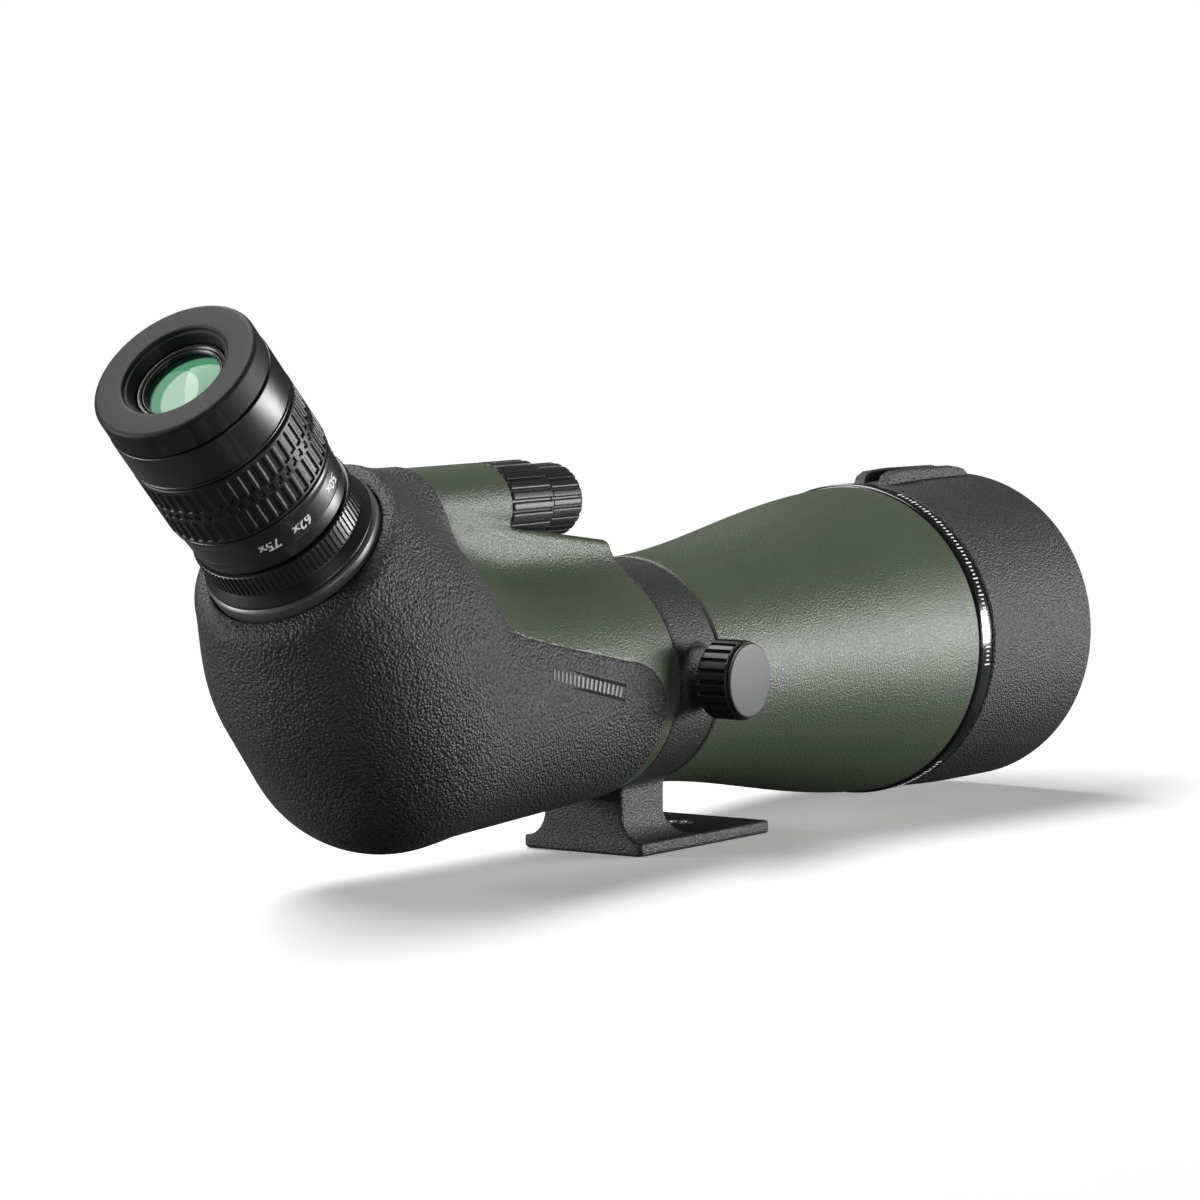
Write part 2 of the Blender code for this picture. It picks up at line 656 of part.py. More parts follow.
def build_lock(lock_axis):
    rod("clamp_pad", lock_axis, PAD_RADIUS, PAD_INNER, PAD_INNER + PAD_THICKNESS, "rubber", SIDES_SMALL)
    screw_start = PAD_INNER + PAD_THICKNESS + GAP
    screw_end = KNOB_INNER + LOCK_SCREW_IN_KNOB
    rod("lock_screw", lock_axis, LOCK_SCREW_RADIUS, screw_start, screw_end, "steel", SIDES_SMALL)
    end = KNOB_INNER + LOCK_KNOB_LENGTH
    bore = LOCK_SCREW_RADIUS + GAP
    turned(
        "lock_knob",
        lock_axis,
        [
            (bore, KNOB_INNER),
            (LOCK_KNOB_RADIUS - 1.5, KNOB_INNER),
            (LOCK_KNOB_RADIUS, KNOB_INNER + 1.5, True),
            (LOCK_KNOB_RADIUS, end - 0.8, True),
            (LOCK_KNOB_RADIUS - 0.8, end),
            (0, end),
            (0, screw_end + GAP),
            (bore, screw_end + GAP),
        ],
        "rubber",
        2 * SIDES_SMALL,
        0.9,
    )
    cap = end + GAP
    turned(
        "lock_knob_cap",
        lock_axis,
        [(0, cap), (LOCK_CAP_RADIUS, cap), (LOCK_CAP_RADIUS, cap + LOCK_CAP_THICKNESS - 0.5),
         (LOCK_CAP_RADIUS - 0.6, cap + LOCK_CAP_THICKNESS), (0, cap + LOCK_CAP_THICKNESS)],
        "grey",
    )


# Barrel, objective and hood


def barrel_radius(y):
    start, end = COLLAR_FRONT - FLARE_BEFORE, BARREL_FRONT + FLARE_AFTER
    share = min(max((y - start) / (end - start), 0.0), 1.0)
    return BODY_RADIUS - 0.4 + BARREL_FLARE * (1 - math.cos(math.pi * share)) / 2


def build_barrel(barrel_axis):
    rear = COLLAR_FRONT + GAP
    stations = np.linspace(rear + 0.6, BARREL_FRONT, 9)
    outer = [(barrel_radius(y), y) for y in stations]
    mouth = BARREL_FRONT - CELL_SPIGOT_LENGTH - 2 * GAP
    bores = [(barrel_radius(y) - BARREL_WALL, y) for y in stations[-3:0:-2]]
    inner = [(bore, y) for bore, y in bores if y < mouth and bore < MOUTH_RADIUS]
    turned(
        "front_barrel",
        barrel_axis,
        [(SPIGOT_BORE, SPIGOT_END), (SPIGOT_RADIUS, SPIGOT_END), (SPIGOT_RADIUS, BODY_FRONT + GAP),
         (JOURNAL_RADIUS, BODY_FRONT + GAP), (JOURNAL_RADIUS, rear), (barrel_radius(rear) - 0.6, rear)]
        + outer
        + [(MOUTH_RADIUS, BARREL_FRONT), (MOUTH_RADIUS, mouth)]
        + inner
        + [(SPIGOT_BORE, rear + 3)],
        "green",
        SIDES_LARGE,
    )
    tube("front_light_stop", barrel_axis, FOCUS_CELL_RADIUS, SPIGOT_BORE + 1.0, FRONT_STOP,
         FRONT_STOP + STOP_THICKNESS, "satin black")


def build_objective(barrel_axis):
    felt_bore = CELL_RADIUS - FELT_DEPTH
    turned(
        "objective_cell",
        barrel_axis,
        [
            (CELL_BORE - LENS_RIM, CELL_SHOULDER - CELL_SPIGOT_LENGTH),
            (CELL_SPIGOT_RADIUS, CELL_SHOULDER - CELL_SPIGOT_LENGTH),
            (CELL_SPIGOT_RADIUS, CELL_SHOULDER),
            (CELL_RADIUS, CELL_SHOULDER),
            (CELL_RADIUS, FELT_AT),
            (felt_bore, FELT_AT),
            (felt_bore, FELT_AT + FELT_WIDTH + 2 * GAP),
            (CELL_RADIUS, FELT_AT + FELT_WIDTH + 2 * GAP),
            (CELL_RADIUS, CELL_FRONT),
            (CELL_BORE, CELL_FRONT),
            (CELL_BORE, REAR_ELEMENT - GAP),
            (CELL_BORE - LENS_RIM, REAR_ELEMENT - GAP),
        ],
        "satin black",
        SIDES_LARGE,
    )
    rear_end, front_end = REAR_ELEMENT + REAR_ELEMENT_EDGE, FRONT_ELEMENT + FRONT_ELEMENT_EDGE
    turned("rear_objective_element", barrel_axis,
           lens_loop(LENS_RADIUS, REAR_ELEMENT, rear_end, -ELEMENT_BULGE, 1.0), "glass", SIDES_LARGE)
    tube("element_spacer", barrel_axis, CLEAR_APERTURE / 2, LENS_RADIUS, SPACER_AT,
         SPACER_AT + ELEMENT_SPACER, "satin black", SIDES_LARGE)
    turned("front_objective_element", barrel_axis,
           lens_loop(LENS_RADIUS, FRONT_ELEMENT, front_end, ELEMENT_BULGE, ELEMENT_BULGE), "glass",
           SIDES_LARGE)
    tube("objective_retainer", barrel_axis, CLEAR_APERTURE / 2, LENS_RADIUS, RETAINER_AT,
         RETAINER_AT + RETAINER_WIDTH, "satin black", SIDES_LARGE)
    ring_rear, ring_front = BARREL_FRONT + GAP, BARREL_FRONT + NAME_RING_WIDTH
    turned(
        "name_ring",
        barrel_axis,
        [(CELL_RADIUS + GAP, ring_rear), (NAME_RING_RADIUS - 0.4, ring_rear),
         (NAME_RING_RADIUS, ring_rear + 0.5), (NAME_RING_RADIUS, ring_front - 0.4),
         (NAME_RING_RADIUS - 0.4, ring_front), (CELL_RADIUS + GAP, ring_front)],
        "gloss black",
        SIDES_LARGE,
    )
    tube("hood_felt", barrel_axis, felt_bore + GAP / 2, CELL_RADIUS, FELT_AT + GAP,
         FELT_AT + GAP + FELT_WIDTH, "rubber", SIDES_LARGE)


def build_hood(barrel_axis, optical):
    tube_end = HOOD_FRONT - HOOD_LIP - GAP
    tube("hood_tube", barrel_axis, HOOD_BORE, HOOD_TUBE_RADIUS, HOOD_REAR, tube_end, "satin black",
         SIDES_LARGE)
    skin = turned(
        "hood_armour",
        barrel_axis,
        [
            (SKIN_BORE, HOOD_REAR),
            (HOOD_REAR_RADIUS - 0.5, HOOD_REAR),
            (HOOD_REAR_RADIUS, HOOD_REAR + 0.6),
            (HOOD_RADIUS, HOOD_REAR + 0.55 * HOOD_LENGTH),
            (HOOD_RADIUS, HOOD_FRONT - 1.6),
            (HOOD_RADIUS - 0.5, HOOD_FRONT - 0.4),
            (HOOD_RADIUS - 1.4, HOOD_FRONT),
            (HOOD_BORE + 0.3, HOOD_FRONT),
            (HOOD_BORE, HOOD_FRONT - 0.3),
            (HOOD_BORE, HOOD_FRONT - HOOD_LIP),
            (SKIN_BORE, HOOD_FRONT - HOOD_LIP),
        ],
        "armour",
        SIDES_LARGE,
    )
    start, end = HOOD_REAR + SIGHT_FROM_REAR, HOOD_REAR + SIGHT_FROM_REAR + SIGHT_LENGTH
    base, top = HOOD_RADIUS - 1.6, HOOD_RADIUS + SIGHT_RISE
    outline = [(start, base), (end, base), (end - 3.5, top - 1.6), (end - 9, top - 0.3), (start + 20, top),
               (start + 6, top - 0.4), (start + 1, top - 2)]
    for side, name in ((-1, "left_sight_ridge"), (1, "right_sight_ridge")):
        edges = sorted((side * SIGHT_NOTCH / 2, side * SIGHT_WIDTH / 2))
        combine(skin, side_plate(name, optical, outline, *edges), "UNION")


# Rear body, armour and what is inside


def build_rear_body(optical, barrel_axis, focus_axis, eye_axis):
    """The housing, its armour, badge and purge screw.

    The housing's cuts use the Manifold solver, because Exact leaves open edges where so many of them meet.
    """
    housing = lofted("rear_housing", optical, fan_rings(whole_field, 0.0, FAN_ANGLES), "green")
    recess = lofted("armour_recess", optical, fan_rings(whole_field, 3.0, LONG_FAN_ANGLES))
    core = fan_rings(whole_field, -ARMOUR_RECESS, LONG_FAN_ANGLES)
    combine(recess, armour_region("armour_recess_region", optical), "INTERSECT", "MANIFOLD")
    combine(recess, lofted("armour_recess_core", optical, core), "DIFFERENCE", "MANIFOLD")
    hollow = fan_rings(body_field, -BODY_WALL, HOLLOW_ANGLES, FAN_SIDES - 8)
    slot = ARM_HALF_WIDTH + 1.2
    purge_axis = axis_empty("purge_axis", (0, PURGE_AT, 0), (0, 0, 0), optical)
    skin = purge_floor()
    behind_face = FOCUS_FACE - BODY_WALL
    cuts = [
        recess,
        lofted("body_hollow", optical, hollow),
        rod("barrel_seat", barrel_axis, SPIGOT_RADIUS + GAP, SPIGOT_END - 4, BODY_FRONT + THROUGH,
            None, SIDES_LARGE),
        rod("port_bore", eye_axis, BASE_SPIGOT_RADIUS + GAP, PORT_BORE_BOTTOM, PORT_HEIGHT + THROUGH),
        rod("port_counterbore", eye_axis, BASE_FLANGE_RADIUS + GAP, BASE_FLANGE_BOTTOM - GAP,
            PORT_HEIGHT + THROUGH),
        rod("knob_trough", focus_axis, COARSE_KNOB_RADIUS + TROUGH_GAP, FOCUS_FACE, WEB_FRONT + 4 * THROUGH),
        rod("focus_tunnel", focus_axis, TUNNEL_RADIUS, FOCUS_TUNNEL_END, behind_face, None, SIDES_SMALL),
        block("arm_slot", optical, (-slot, NUT_REAR - FOCUS_TRAVEL - 2, FOCUS_CELL_RADIUS - 4),
              (slot, behind_face - 0.5, FOCUS_HEIGHT)),
        rod("bush_hole", focus_axis, FOCUS_SHAFT_RADIUS + RUN + BUSH_WALL + GAP, behind_face - 2,
            FOCUS_FACE + THROUGH, None, SIDES_SMALL),
        rod("purge_hole", purge_axis, PURGE_SHANK_RADIUS + GAP, skin - THROUGH, skin + 3 * THROUGH,
            None, SIDES_SMALL),
    ]
    for cut in cuts:
        combine(housing, cut, "DIFFERENCE", "MANIFOLD")

    armour = lofted("rubber_armour", optical, fan_rings(whole_field, ARMOUR_PROUD, FAN_ANGLES), "armour")
    inner = fan_rings(whole_field, -ARMOUR_DEPTH, LONG_FAN_ANGLES)
    combine(armour, lofted("armour_core", optical, inner), "DIFFERENCE", "MANIFOLD")
    combine(armour, armour_region("armour_trim", optical, GAP), "INTERSECT", "MANIFOLD")
    combine(armour, rod("purge_access", purge_axis, PURGE_HEAD_RADIUS + 0.5, skin - 2 * THROUGH,
                        skin + THROUGH, None, SIDES_SMALL), "DIFFERENCE", "MANIFOLD")
    badge_axis = badge_empty(optical)
    half = (BADGE_LENGTH / 2 + GAP, BADGE_HEIGHT / 2 + GAP)
    combine(armour, block("badge_pocket", badge_axis, (-BADGE_THICKNESS, -half[0], -half[1]),
                          (THROUGH, half[0], half[1])), "DIFFERENCE", "MANIFOLD")
    block("badge_plate", badge_axis, (-BADGE_THICKNESS + 0.15, -BADGE_LENGTH / 2, -BADGE_HEIGHT / 2),
          (0.15, BADGE_LENGTH / 2, BADGE_HEIGHT / 2), "gloss black")
    head = skin - ARMOUR_PROUD
    turned(
        "purge_screw",
        purge_axis,
        [(0, head), (PURGE_HEAD_RADIUS, head), (PURGE_HEAD_RADIUS, head + PURGE_HEAD_HEIGHT),
         (PURGE_SHANK_RADIUS, head + PURGE_HEAD_HEIGHT),
         (PURGE_SHANK_RADIUS, head + PURGE_HEAD_HEIGHT + PURGE_SHANK_LENGTH),
         (0, head + PURGE_HEAD_HEIGHT + PURGE_SHANK_LENGTH)],
        "steel",
        SIDES_SMALL,
    )


def surface_reach(start, step):
    """How far along the step from the start the body's surface lies."""
    reach = np.arange(0.0, 80.0, 0.05)
    points = start[None, :] + reach[:, None] * step[None, :]
    outside = whole_field(points[:, 0], points[:, 1], points[:, 2]) > 0
    return float(reach[np.argmax(outside)])


def purge_floor():
    """Height of the body's underside where the purge screw is."""
    return -surface_reach(np.array([0.0, PURGE_AT, 0.0]), np.array([0.0, 0.0, -1.0]))


def badge_empty(optical):
    """An axis whose x leaves the armour's surface square at the badge's centre."""
    centre = np.array([0.0, BADGE_CENTRE[0], BADGE_CENTRE[1]])
    tilt = math.atan2(BADGE_CENTRE[1], BODY_RADIUS)
    reach = surface_reach(centre, np.array([1.0, 0.0, 0.0]))
    place = (reach + ARMOUR_PROUD - 0.15, *BADGE_CENTRE)
    return axis_empty("badge_axis", place, (BADGE_SLOPE, -tilt, BADGE_YAW), optical)


def prism_outline():
    exit_point = EYE_ORIGIN + PRISM_EXIT_HEIGHT * EYE_DIRECTION
    upper = exit_point + PRISM_EXIT_HALF * EYE_ACROSS
    lower = exit_point - PRISM_EXIT_HALF * EYE_ACROSS
    return [(PRISM_FRONT, PRISM_FOOT[1]), (PRISM_FRONT, PRISM_ENTRY_HALF), tuple(upper[1:]), tuple(lower[1:]),
            PRISM_FOOT]


def build_prism(optical):
    outline = prism_outline()
    side_plate("prism", optical, outline, -PRISM_HALF_WIDTH, PRISM_HALF_WIDTH, "glass")
    inner, floor = PRISM_HALF_WIDTH + GAP, PRISM_FOOT[1] - GAP
    outer = inner + HOLDER_WALL
    holder = block("prism_holder", optical, (-outer, PRISM_FOOT[0], floor - HOLDER_WALL),
                   (outer, PRISM_FRONT - 2, floor + 14), "satin black")
    combine(holder, block("prism_seat", optical, (-inner, PRISM_FOOT[0] - THROUGH, floor),
                          (inner, PRISM_FRONT + THROUGH, floor + 14 + THROUGH)))
    low, high = np.array(PRISM_FOOT), np.array(outline[3])
    along = (high - low) / np.linalg.norm(high - low)
    outward = np.array([-along[1], along[0]])
    near = [low + 2 * along + GAP * outward, high - 2 * along + GAP * outward]
    far = [near[1] + CLAMP_THICKNESS * outward, near[0] + CLAMP_THICKNESS * outward]
    side_plate("prism_clamp", optical, [tuple(p) for p in near + far], -8.0, 8.0, "steel")


def build_focus(optical, barrel_axis, focus_axis):
    shaft_bore = FINE_SHAFT_RADIUS + RUN
    tube("focus_shaft", focus_axis, shaft_bore, FOCUS_SHAFT_RADIUS, FOCUS_TUNNEL_END + 4, COARSE_FRONT - GAP,
         "steel", SIDES_SMALL)
    shaft_end = FINE_FRONT - FINE_SHAFT_SHORT
    rod("fine_shaft", focus_axis, FINE_SHAFT_RADIUS, FOCUS_TUNNEL_END + 2, shaft_end, "steel", SIDES_SMALL)
    bush_bore = FOCUS_SHAFT_RADIUS + RUN
    tube("focus_bush", focus_axis, bush_bore, bush_bore + BUSH_WALL, FOCUS_FACE - BODY_WALL + GAP,
         FOCUS_FACE - GAP, "brass", SIDES_SMALL)
    knob_bore = FOCUS_SHAFT_RADIUS + GAP
    turned(
        "coarse_knob",
        focus_axis,
        [
            (knob_bore, COARSE_REAR),
            (COARSE_KNOB_RADIUS - 1.4, COARSE_REAR),
            (COARSE_KNOB_RADIUS, COARSE_REAR + 1.2, True),
            (COARSE_KNOB_RADIUS, COARSE_FRONT - 1.2, True),
            (COARSE_KNOB_RADIUS - 1.4, COARSE_FRONT),
            (knob_bore, COARSE_FRONT),
        ],
        "rubber",
        2 * SIDES_SMALL,
        0.9,
    )
    fine_bore = FINE_SHAFT_RADIUS + GAP
    blind = shaft_end + GAP
    turned(
        "fine_knob",
        focus_axis,
        [
            (fine_bore, FINE_REAR),
            (FINE_KNOB_RADIUS - 1.0, FINE_REAR),
            (FINE_KNOB_RADIUS, FINE_REAR + 1.0, True),
            (FINE_KNOB_RADIUS, FINE_FRONT - 1.5, True),
            (FINE_KNOB_RADIUS - 1.5, FINE_FRONT),
            (0, FINE_FRONT),
            (0, blind),
            (fine_bore, blind),
        ],
        "rubber",
        2 * SIDES_SMALL,
        0.8,
    )
    cap = FINE_FRONT + GAP
    turned("fine_knob_cap", focus_axis,
           [(0, cap), (FINE_KNOB_RADIUS - 2, cap), (FINE_KNOB_RADIUS - 2.8, cap + FINE_CAP_THICKNESS),
            (0, cap + FINE_CAP_THICKNESS)], "satin black", SIDES_SMALL)
    cell_rear = -FOCUS_CELL_LENGTH / 2
    under, over = FOCUS_CELL_RADIUS + 0.6, FOCUS_CELL_RADIUS + 0.6 + ARM_THICKNESS
    nut_low, nut_high = FOCUS_HEIGHT - NUT_HALF, FOCUS_HEIGHT + NUT_HALF
    nut_front = NUT_REAR + NUT_LENGTH
    arm = side_plate(
        "focus_arm",
        optical,
        [(nut_front - 4, under), (cell_rear - GAP, under), (cell_rear - GAP, over), (nut_front, over),
         (nut_front, nut_high), (NUT_REAR, nut_high), (NUT_REAR, nut_low), (nut_front - 4, nut_low)],
        -ARM_HALF_WIDTH,
        ARM_HALF_WIDTH,
        "brass",
    )
    combine(arm, rod("nut_bore", focus_axis, bush_bore, NUT_REAR - THROUGH, nut_front + THROUGH, None,
                     SIDES_SMALL))
    tube("focus_cell", barrel_axis, FOCUS_LENS_RADIUS + GAP, FOCUS_CELL_RADIUS, cell_rear,
         cell_rear + FOCUS_CELL_LENGTH, "satin black")
    turned("focus_lens", barrel_axis,
           lens_loop(FOCUS_LENS_RADIUS, cell_rear + 1.5, cell_rear + FOCUS_CELL_LENGTH - 1.5, -1.5, -1.0),
           "glass")
    for side, name in ((-1, "left_guide_rod"), (1, "right_guide_rod")):
        axis = axis_empty(name + "_axis", (side * ROD_AT, 0, 0), (-math.pi / 2, 0, 0), optical)
        rod(name, axis, GUIDE_ROD_RADIUS, REAR_STOP + STOP_THICKNESS + GAP, FRONT_STOP - GAP, "steel", 10)
    tube("rear_light_stop", barrel_axis, PRISM_ENTRY_HALF, FOCUS_CELL_RADIUS, REAR_STOP,
         REAR_STOP + STOP_THICKNESS, "satin black")


# Eyepiece


def build_eyepiece(eye_axis):
    turned(
        "eyepiece_base_ring",
        eye_axis,
        [(TUBE_RADIUS + RUN, BASE_SPIGOT_BOTTOM), (BASE_SPIGOT_RADIUS, BASE_SPIGOT_BOTTOM),
         (BASE_SPIGOT_RADIUS, BASE_FLANGE_BOTTOM), (BASE_FLANGE_RADIUS, BASE_FLANGE_BOTTOM),
         (BASE_FLANGE_RADIUS, BASE_TOP - 0.5), (BASE_FLANGE_RADIUS - 0.5, BASE_TOP),
         (TUBE_RADIUS + RUN, BASE_TOP)],
        "grey",
    )
    bottom = BASE_TOP + GAP
    turned(
        "eyepiece_lock_ring",
        eye_axis,
        [(TUBE_RADIUS + 2 * RUN, bottom), (BASE_FLANGE_RADIUS - 0.6, bottom),
         (LOCK_RING_RADIUS, LOCK_CONE_TOP, True), (LOCK_RING_RADIUS, LOCK_RING_TOP - 0.4, True),
         (LOCK_RING_RADIUS - 0.6, LOCK_RING_TOP),
         (TUBE_RADIUS + 2 * RUN, LOCK_RING_TOP)],
        "satin black",
        2 * SIDES_MEDIUM,
        0.3,
    )
    tube("eyepiece_tube", eye_axis, TUBE_BORE, TUBE_RADIUS, TUBE_BOTTOM, TUBE_TOP, "satin black")
    turned("field_lens", eye_axis,
           lens_loop(CAM_RADIUS - 0.5, TUBE_BOTTOM + 2, TUBE_BOTTOM + 2 + FIELD_LENS_LENGTH, 1.2, 0.0),
           "glass", SIDES_SMALL)
    inner = TUBE_RADIUS + RUN
    turned(
        "zoom_scale_ring",
        eye_axis,
        [(inner, SCALE_BOTTOM), (SCALE_BOTTOM_RADIUS - 0.3, SCALE_BOTTOM),
         (SCALE_BOTTOM_RADIUS, SCALE_BOTTOM + 0.3), (SCALE_TOP_RADIUS, SCALE_TOP),
         (GRIP_BORE - GAP, SCALE_TOP), (GRIP_BORE - GAP, GRIP_TOP), (inner, GRIP_TOP)],
        "satin black",
    )
    turned(
        "zoom_grip",
        eye_axis,
        [(GRIP_BORE, GRIP_BOTTOM), (GRIP_RADIUS - 0.8, GRIP_BOTTOM),
         (GRIP_RADIUS - 0.3, GRIP_BOTTOM + 0.8, True), (GRIP_RADIUS, GRIP_TOP - 0.8, True),
         (GRIP_RADIUS - 0.6, GRIP_TOP), (GRIP_BORE, GRIP_TOP)],
        "rubber",
        2 * SIDES_MEDIUM,
        0.6,
    )
    tube("zoom_cam_sleeve", eye_axis, CAM_RADIUS - ZOOM_SLEEVE_WALL, CAM_RADIUS,
         TUBE_BOTTOM + FIELD_LENS_LENGTH + 4, TUBE_TOP - EYE_SPIGOT_LENGTH - 1, "brass")
    for name, low in (("front_zoom", FRONT_ZOOM_AT), ("rear_zoom", REAR_ZOOM_AT)):
        lens = ZOOM_CELL_RADIUS - ZOOM_CELL_WALL
        high = low + ZOOM_CELL_LENGTH
        tube(name + "_cell", eye_axis, lens + GAP, ZOOM_CELL_RADIUS, low, high, "satin black")
        turned(name + "_lens", eye_axis, lens_loop(lens, low + 1.5, high - 1.5, 1.2, 1.2), "glass",
               SIDES_SMALL)
    opening = EYE_LENS_RADIUS - 1.2
    seat = EYE_LENS_RADIUS + GAP
    turned(
        "eye_lens_cell",
        eye_axis,
        [(opening, TUBE_TOP - EYE_SPIGOT_LENGTH), (TUBE_BORE - GAP, TUBE_TOP - EYE_SPIGOT_LENGTH),
         (TUBE_BORE - GAP, EYE_CELL_BOTTOM), (EYE_CELL_RADIUS, EYE_CELL_BOTTOM),
         (EYE_CELL_RADIUS, EYE_CELL_TOP), (EYE_NECK_RADIUS, EYE_CELL_TOP), (EYE_NECK_RADIUS, EYE_NECK_TOP),
         (seat, EYE_NECK_TOP),
         (seat, EYE_LENS_AT - GAP), (opening, EYE_LENS_AT - GAP)],
        "satin black",
    )
    turned("eye_lens", eye_axis,
           lens_loop(EYE_LENS_RADIUS, EYE_LENS_AT, EYE_LENS_AT + EYE_LENS_EDGE, 1.4, 0.6), "glass",
           SIDES_SMALL)
    tube("eye_lens_retainer", eye_axis, EYE_LENS_RADIUS - 1.0, EYE_LENS_RADIUS, EYE_RETAINER_AT,
         EYE_RETAINER_AT + EYE_RETAINER, "satin black", SIDES_SMALL)
    sleeve_bore = EYECUP_RADIUS - EYECUP_WALL
    turned(
        "eyecup_sleeve",
        eye_axis,
        [(sleeve_bore, SLEEVE_BOTTOM), (EYECUP_RADIUS - 0.2, SLEEVE_BOTTOM),
         (EYECUP_RADIUS, SLEEVE_BOTTOM + 0.4), (EYECUP_RADIUS - 0.2, SLEEVE_TOP),
         (EYECUP_OPENING + 0.8, SLEEVE_TOP),
         (EYECUP_OPENING + 0.8, SLEEVE_TOP - EYECUP_FLANGE), (sleeve_bore, SLEEVE_TOP - EYECUP_FLANGE)],
        "satin black",
    )
    rim = EYECUP_RADIUS - 0.3
    turned(
        "eyecup_rubber",
        eye_axis,
        [(EYECUP_OPENING, RUBBER_BOTTOM), (rim - 0.4, RUBBER_BOTTOM), (rim, RUBBER_BOTTOM + 0.5),
         (rim, RUBBER_TOP - 2 * EYECUP_ROUNDING), (rim - 0.3, RUBBER_TOP - EYECUP_ROUNDING),
         (rim - EYECUP_ROUNDING, RUBBER_TOP), (EYECUP_OPENING + EYECUP_ROUNDING, RUBBER_TOP),
         (EYECUP_OPENING, RUBBER_TOP - EYECUP_ROUNDING)],
        "rubber",
    )
    tube("eyecup_detent_ring", eye_axis, EYE_CELL_RADIUS + RUN, sleeve_bore - RUN, SLEEVE_BOTTOM + 1.5,
         SLEEVE_BOTTOM + 1.5 + DETENT_LENGTH, "brass")


def main():
    clear_scene()
    optical = axis_empty("optical_frame", (0, -FOOT_CENTRE, AXIS_HEIGHT), (0, 0, 0))
    barrel_axis = axis_empty("barrel_axis", (0, 0, 0), (-math.pi / 2, 0, 0), optical)
    focus_axis = axis_empty("focus_axis", (0, 0, FOCUS_HEIGHT), (-math.pi / 2, 0, 0), optical)
    lock_axis = axis_empty("lock_axis", (0, LOCK_AT, LOCK_HEIGHT), (0, math.pi / 2, 0), optical)
    eye_axis = axis_empty("eyepiece_axis", (0, EYEPIECE_POINT, 0), (EYEPIECE_ANGLE, 0, 0), optical)
    build_collar(optical, barrel_axis, lock_axis)
    build_lock(lock_axis)
    build_barrel(barrel_axis)
    build_objective(barrel_axis)
    build_hood(barrel_axis, optical)
    build_rear_body(optical, barrel_axis, focus_axis, eye_axis)
    build_prism(optical)
    build_focus(optical, barrel_axis, focus_axis)
    build_eyepiece(eye_axis)


if __name__ == "__main__":
    main()
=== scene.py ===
"""Finished surfaces of an angled spotting scope, built around its packed assembly.

Shapes are drawn in the scope's optical frame, in millimetres: the origin lies on the barrel's axis, y runs
to the objective, x to the user's right and z up. settled() turns them into metres above the foot.
"""

import itertools
import math

import bpy
import numpy as np
from bpy.props import FloatProperty, FloatVectorProperty, IntProperty, PointerProperty
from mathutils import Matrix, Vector


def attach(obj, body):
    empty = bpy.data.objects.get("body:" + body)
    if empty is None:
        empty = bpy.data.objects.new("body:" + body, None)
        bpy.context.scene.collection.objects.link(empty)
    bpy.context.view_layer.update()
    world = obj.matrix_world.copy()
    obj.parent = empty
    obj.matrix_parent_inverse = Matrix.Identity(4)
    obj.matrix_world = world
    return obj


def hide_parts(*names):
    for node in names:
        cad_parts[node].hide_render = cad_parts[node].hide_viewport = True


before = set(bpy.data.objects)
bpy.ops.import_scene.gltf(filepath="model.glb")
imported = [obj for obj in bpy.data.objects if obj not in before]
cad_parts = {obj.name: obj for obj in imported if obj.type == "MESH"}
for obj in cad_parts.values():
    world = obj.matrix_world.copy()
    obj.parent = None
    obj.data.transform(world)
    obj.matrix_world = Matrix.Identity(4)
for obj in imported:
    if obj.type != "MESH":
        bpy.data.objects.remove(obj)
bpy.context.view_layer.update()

bl_info = {
    "name": "Spotting Scope",
    "version": (1, 0, 0),
    "blender": (4, 5, 0),
    "location": "3D View > Sidebar > Spotting Scope",
    "description": "Builds the finished surfaces of an angled spotting scope around its assembly",
    "category": "Add Mesh",
}

MM = 0.001
AXIS_HEIGHT = 54.5
FOOT_CENTRE = 53.95
OPTICAL_ORIGIN = np.array([0.0, -FOOT_CENTRE, AXIS_HEIGHT])
GAP = 0.3
RIGHT = np.array([1.0, 0.0, 0.0])
AHEAD = np.array([0.0, 1.0, 0.0])
UP = np.array([0.0, 0.0, 1.0])

# Rear body
BODY_RADIUS = 35.8
BODY_FRONT = 16.4
BODY_WALL = 4.6
HEEL_START = (-85.1, -2.1)
HEEL_END = (-98.8, 13.9)
HEEL_START_RADIUS = 39.9
HEEL_END_RADIUS = 39.6
PORT_BASE_RADIUS = 33.1
PORT_TOP_RADIUS = 30.5
PORT_HEIGHT = 66.5
PORT_BORE = 24.8
PORT_COUNTERBORE = 27.3
PORT_STEP = 60.0
LIP_BOTTOM = 61.5  # above this the armour alone makes the port's rim
BODY_BLEND = 22.0
BARREL_SEAT_RADIUS = 29.9
BARREL_SEAT_REAR = -1.9
ARMOUR_PROUD = 0.6
BADGE_CENTRE = (-35.5, 4.2)
ARMOUR_DEPTH = 2.0
ARMOUR_SEAT_DEPTH = 2.4
EYEPIECE_POINT = -76.8
EYEPIECE_ANGLE = math.radians(45.5)
EYE_ORIGIN = np.array([0.0, EYEPIECE_POINT, 0.0])
EYE_DIRECTION = np.array([0.0, -math.sin(EYEPIECE_ANGLE), math.cos(EYEPIECE_ANGLE)])
EYE_ACROSS = np.array([0.0, math.cos(EYEPIECE_ANGLE), math.sin(EYEPIECE_ANGLE)])
HOUSING_BOX = ((-42.0, -149.0, -45.0), (42.0, 18.0, 72.0))
ARMOUR_BOX = ((-42.5, -149.5, -45.5), (42.5, 14.0, 72.5))
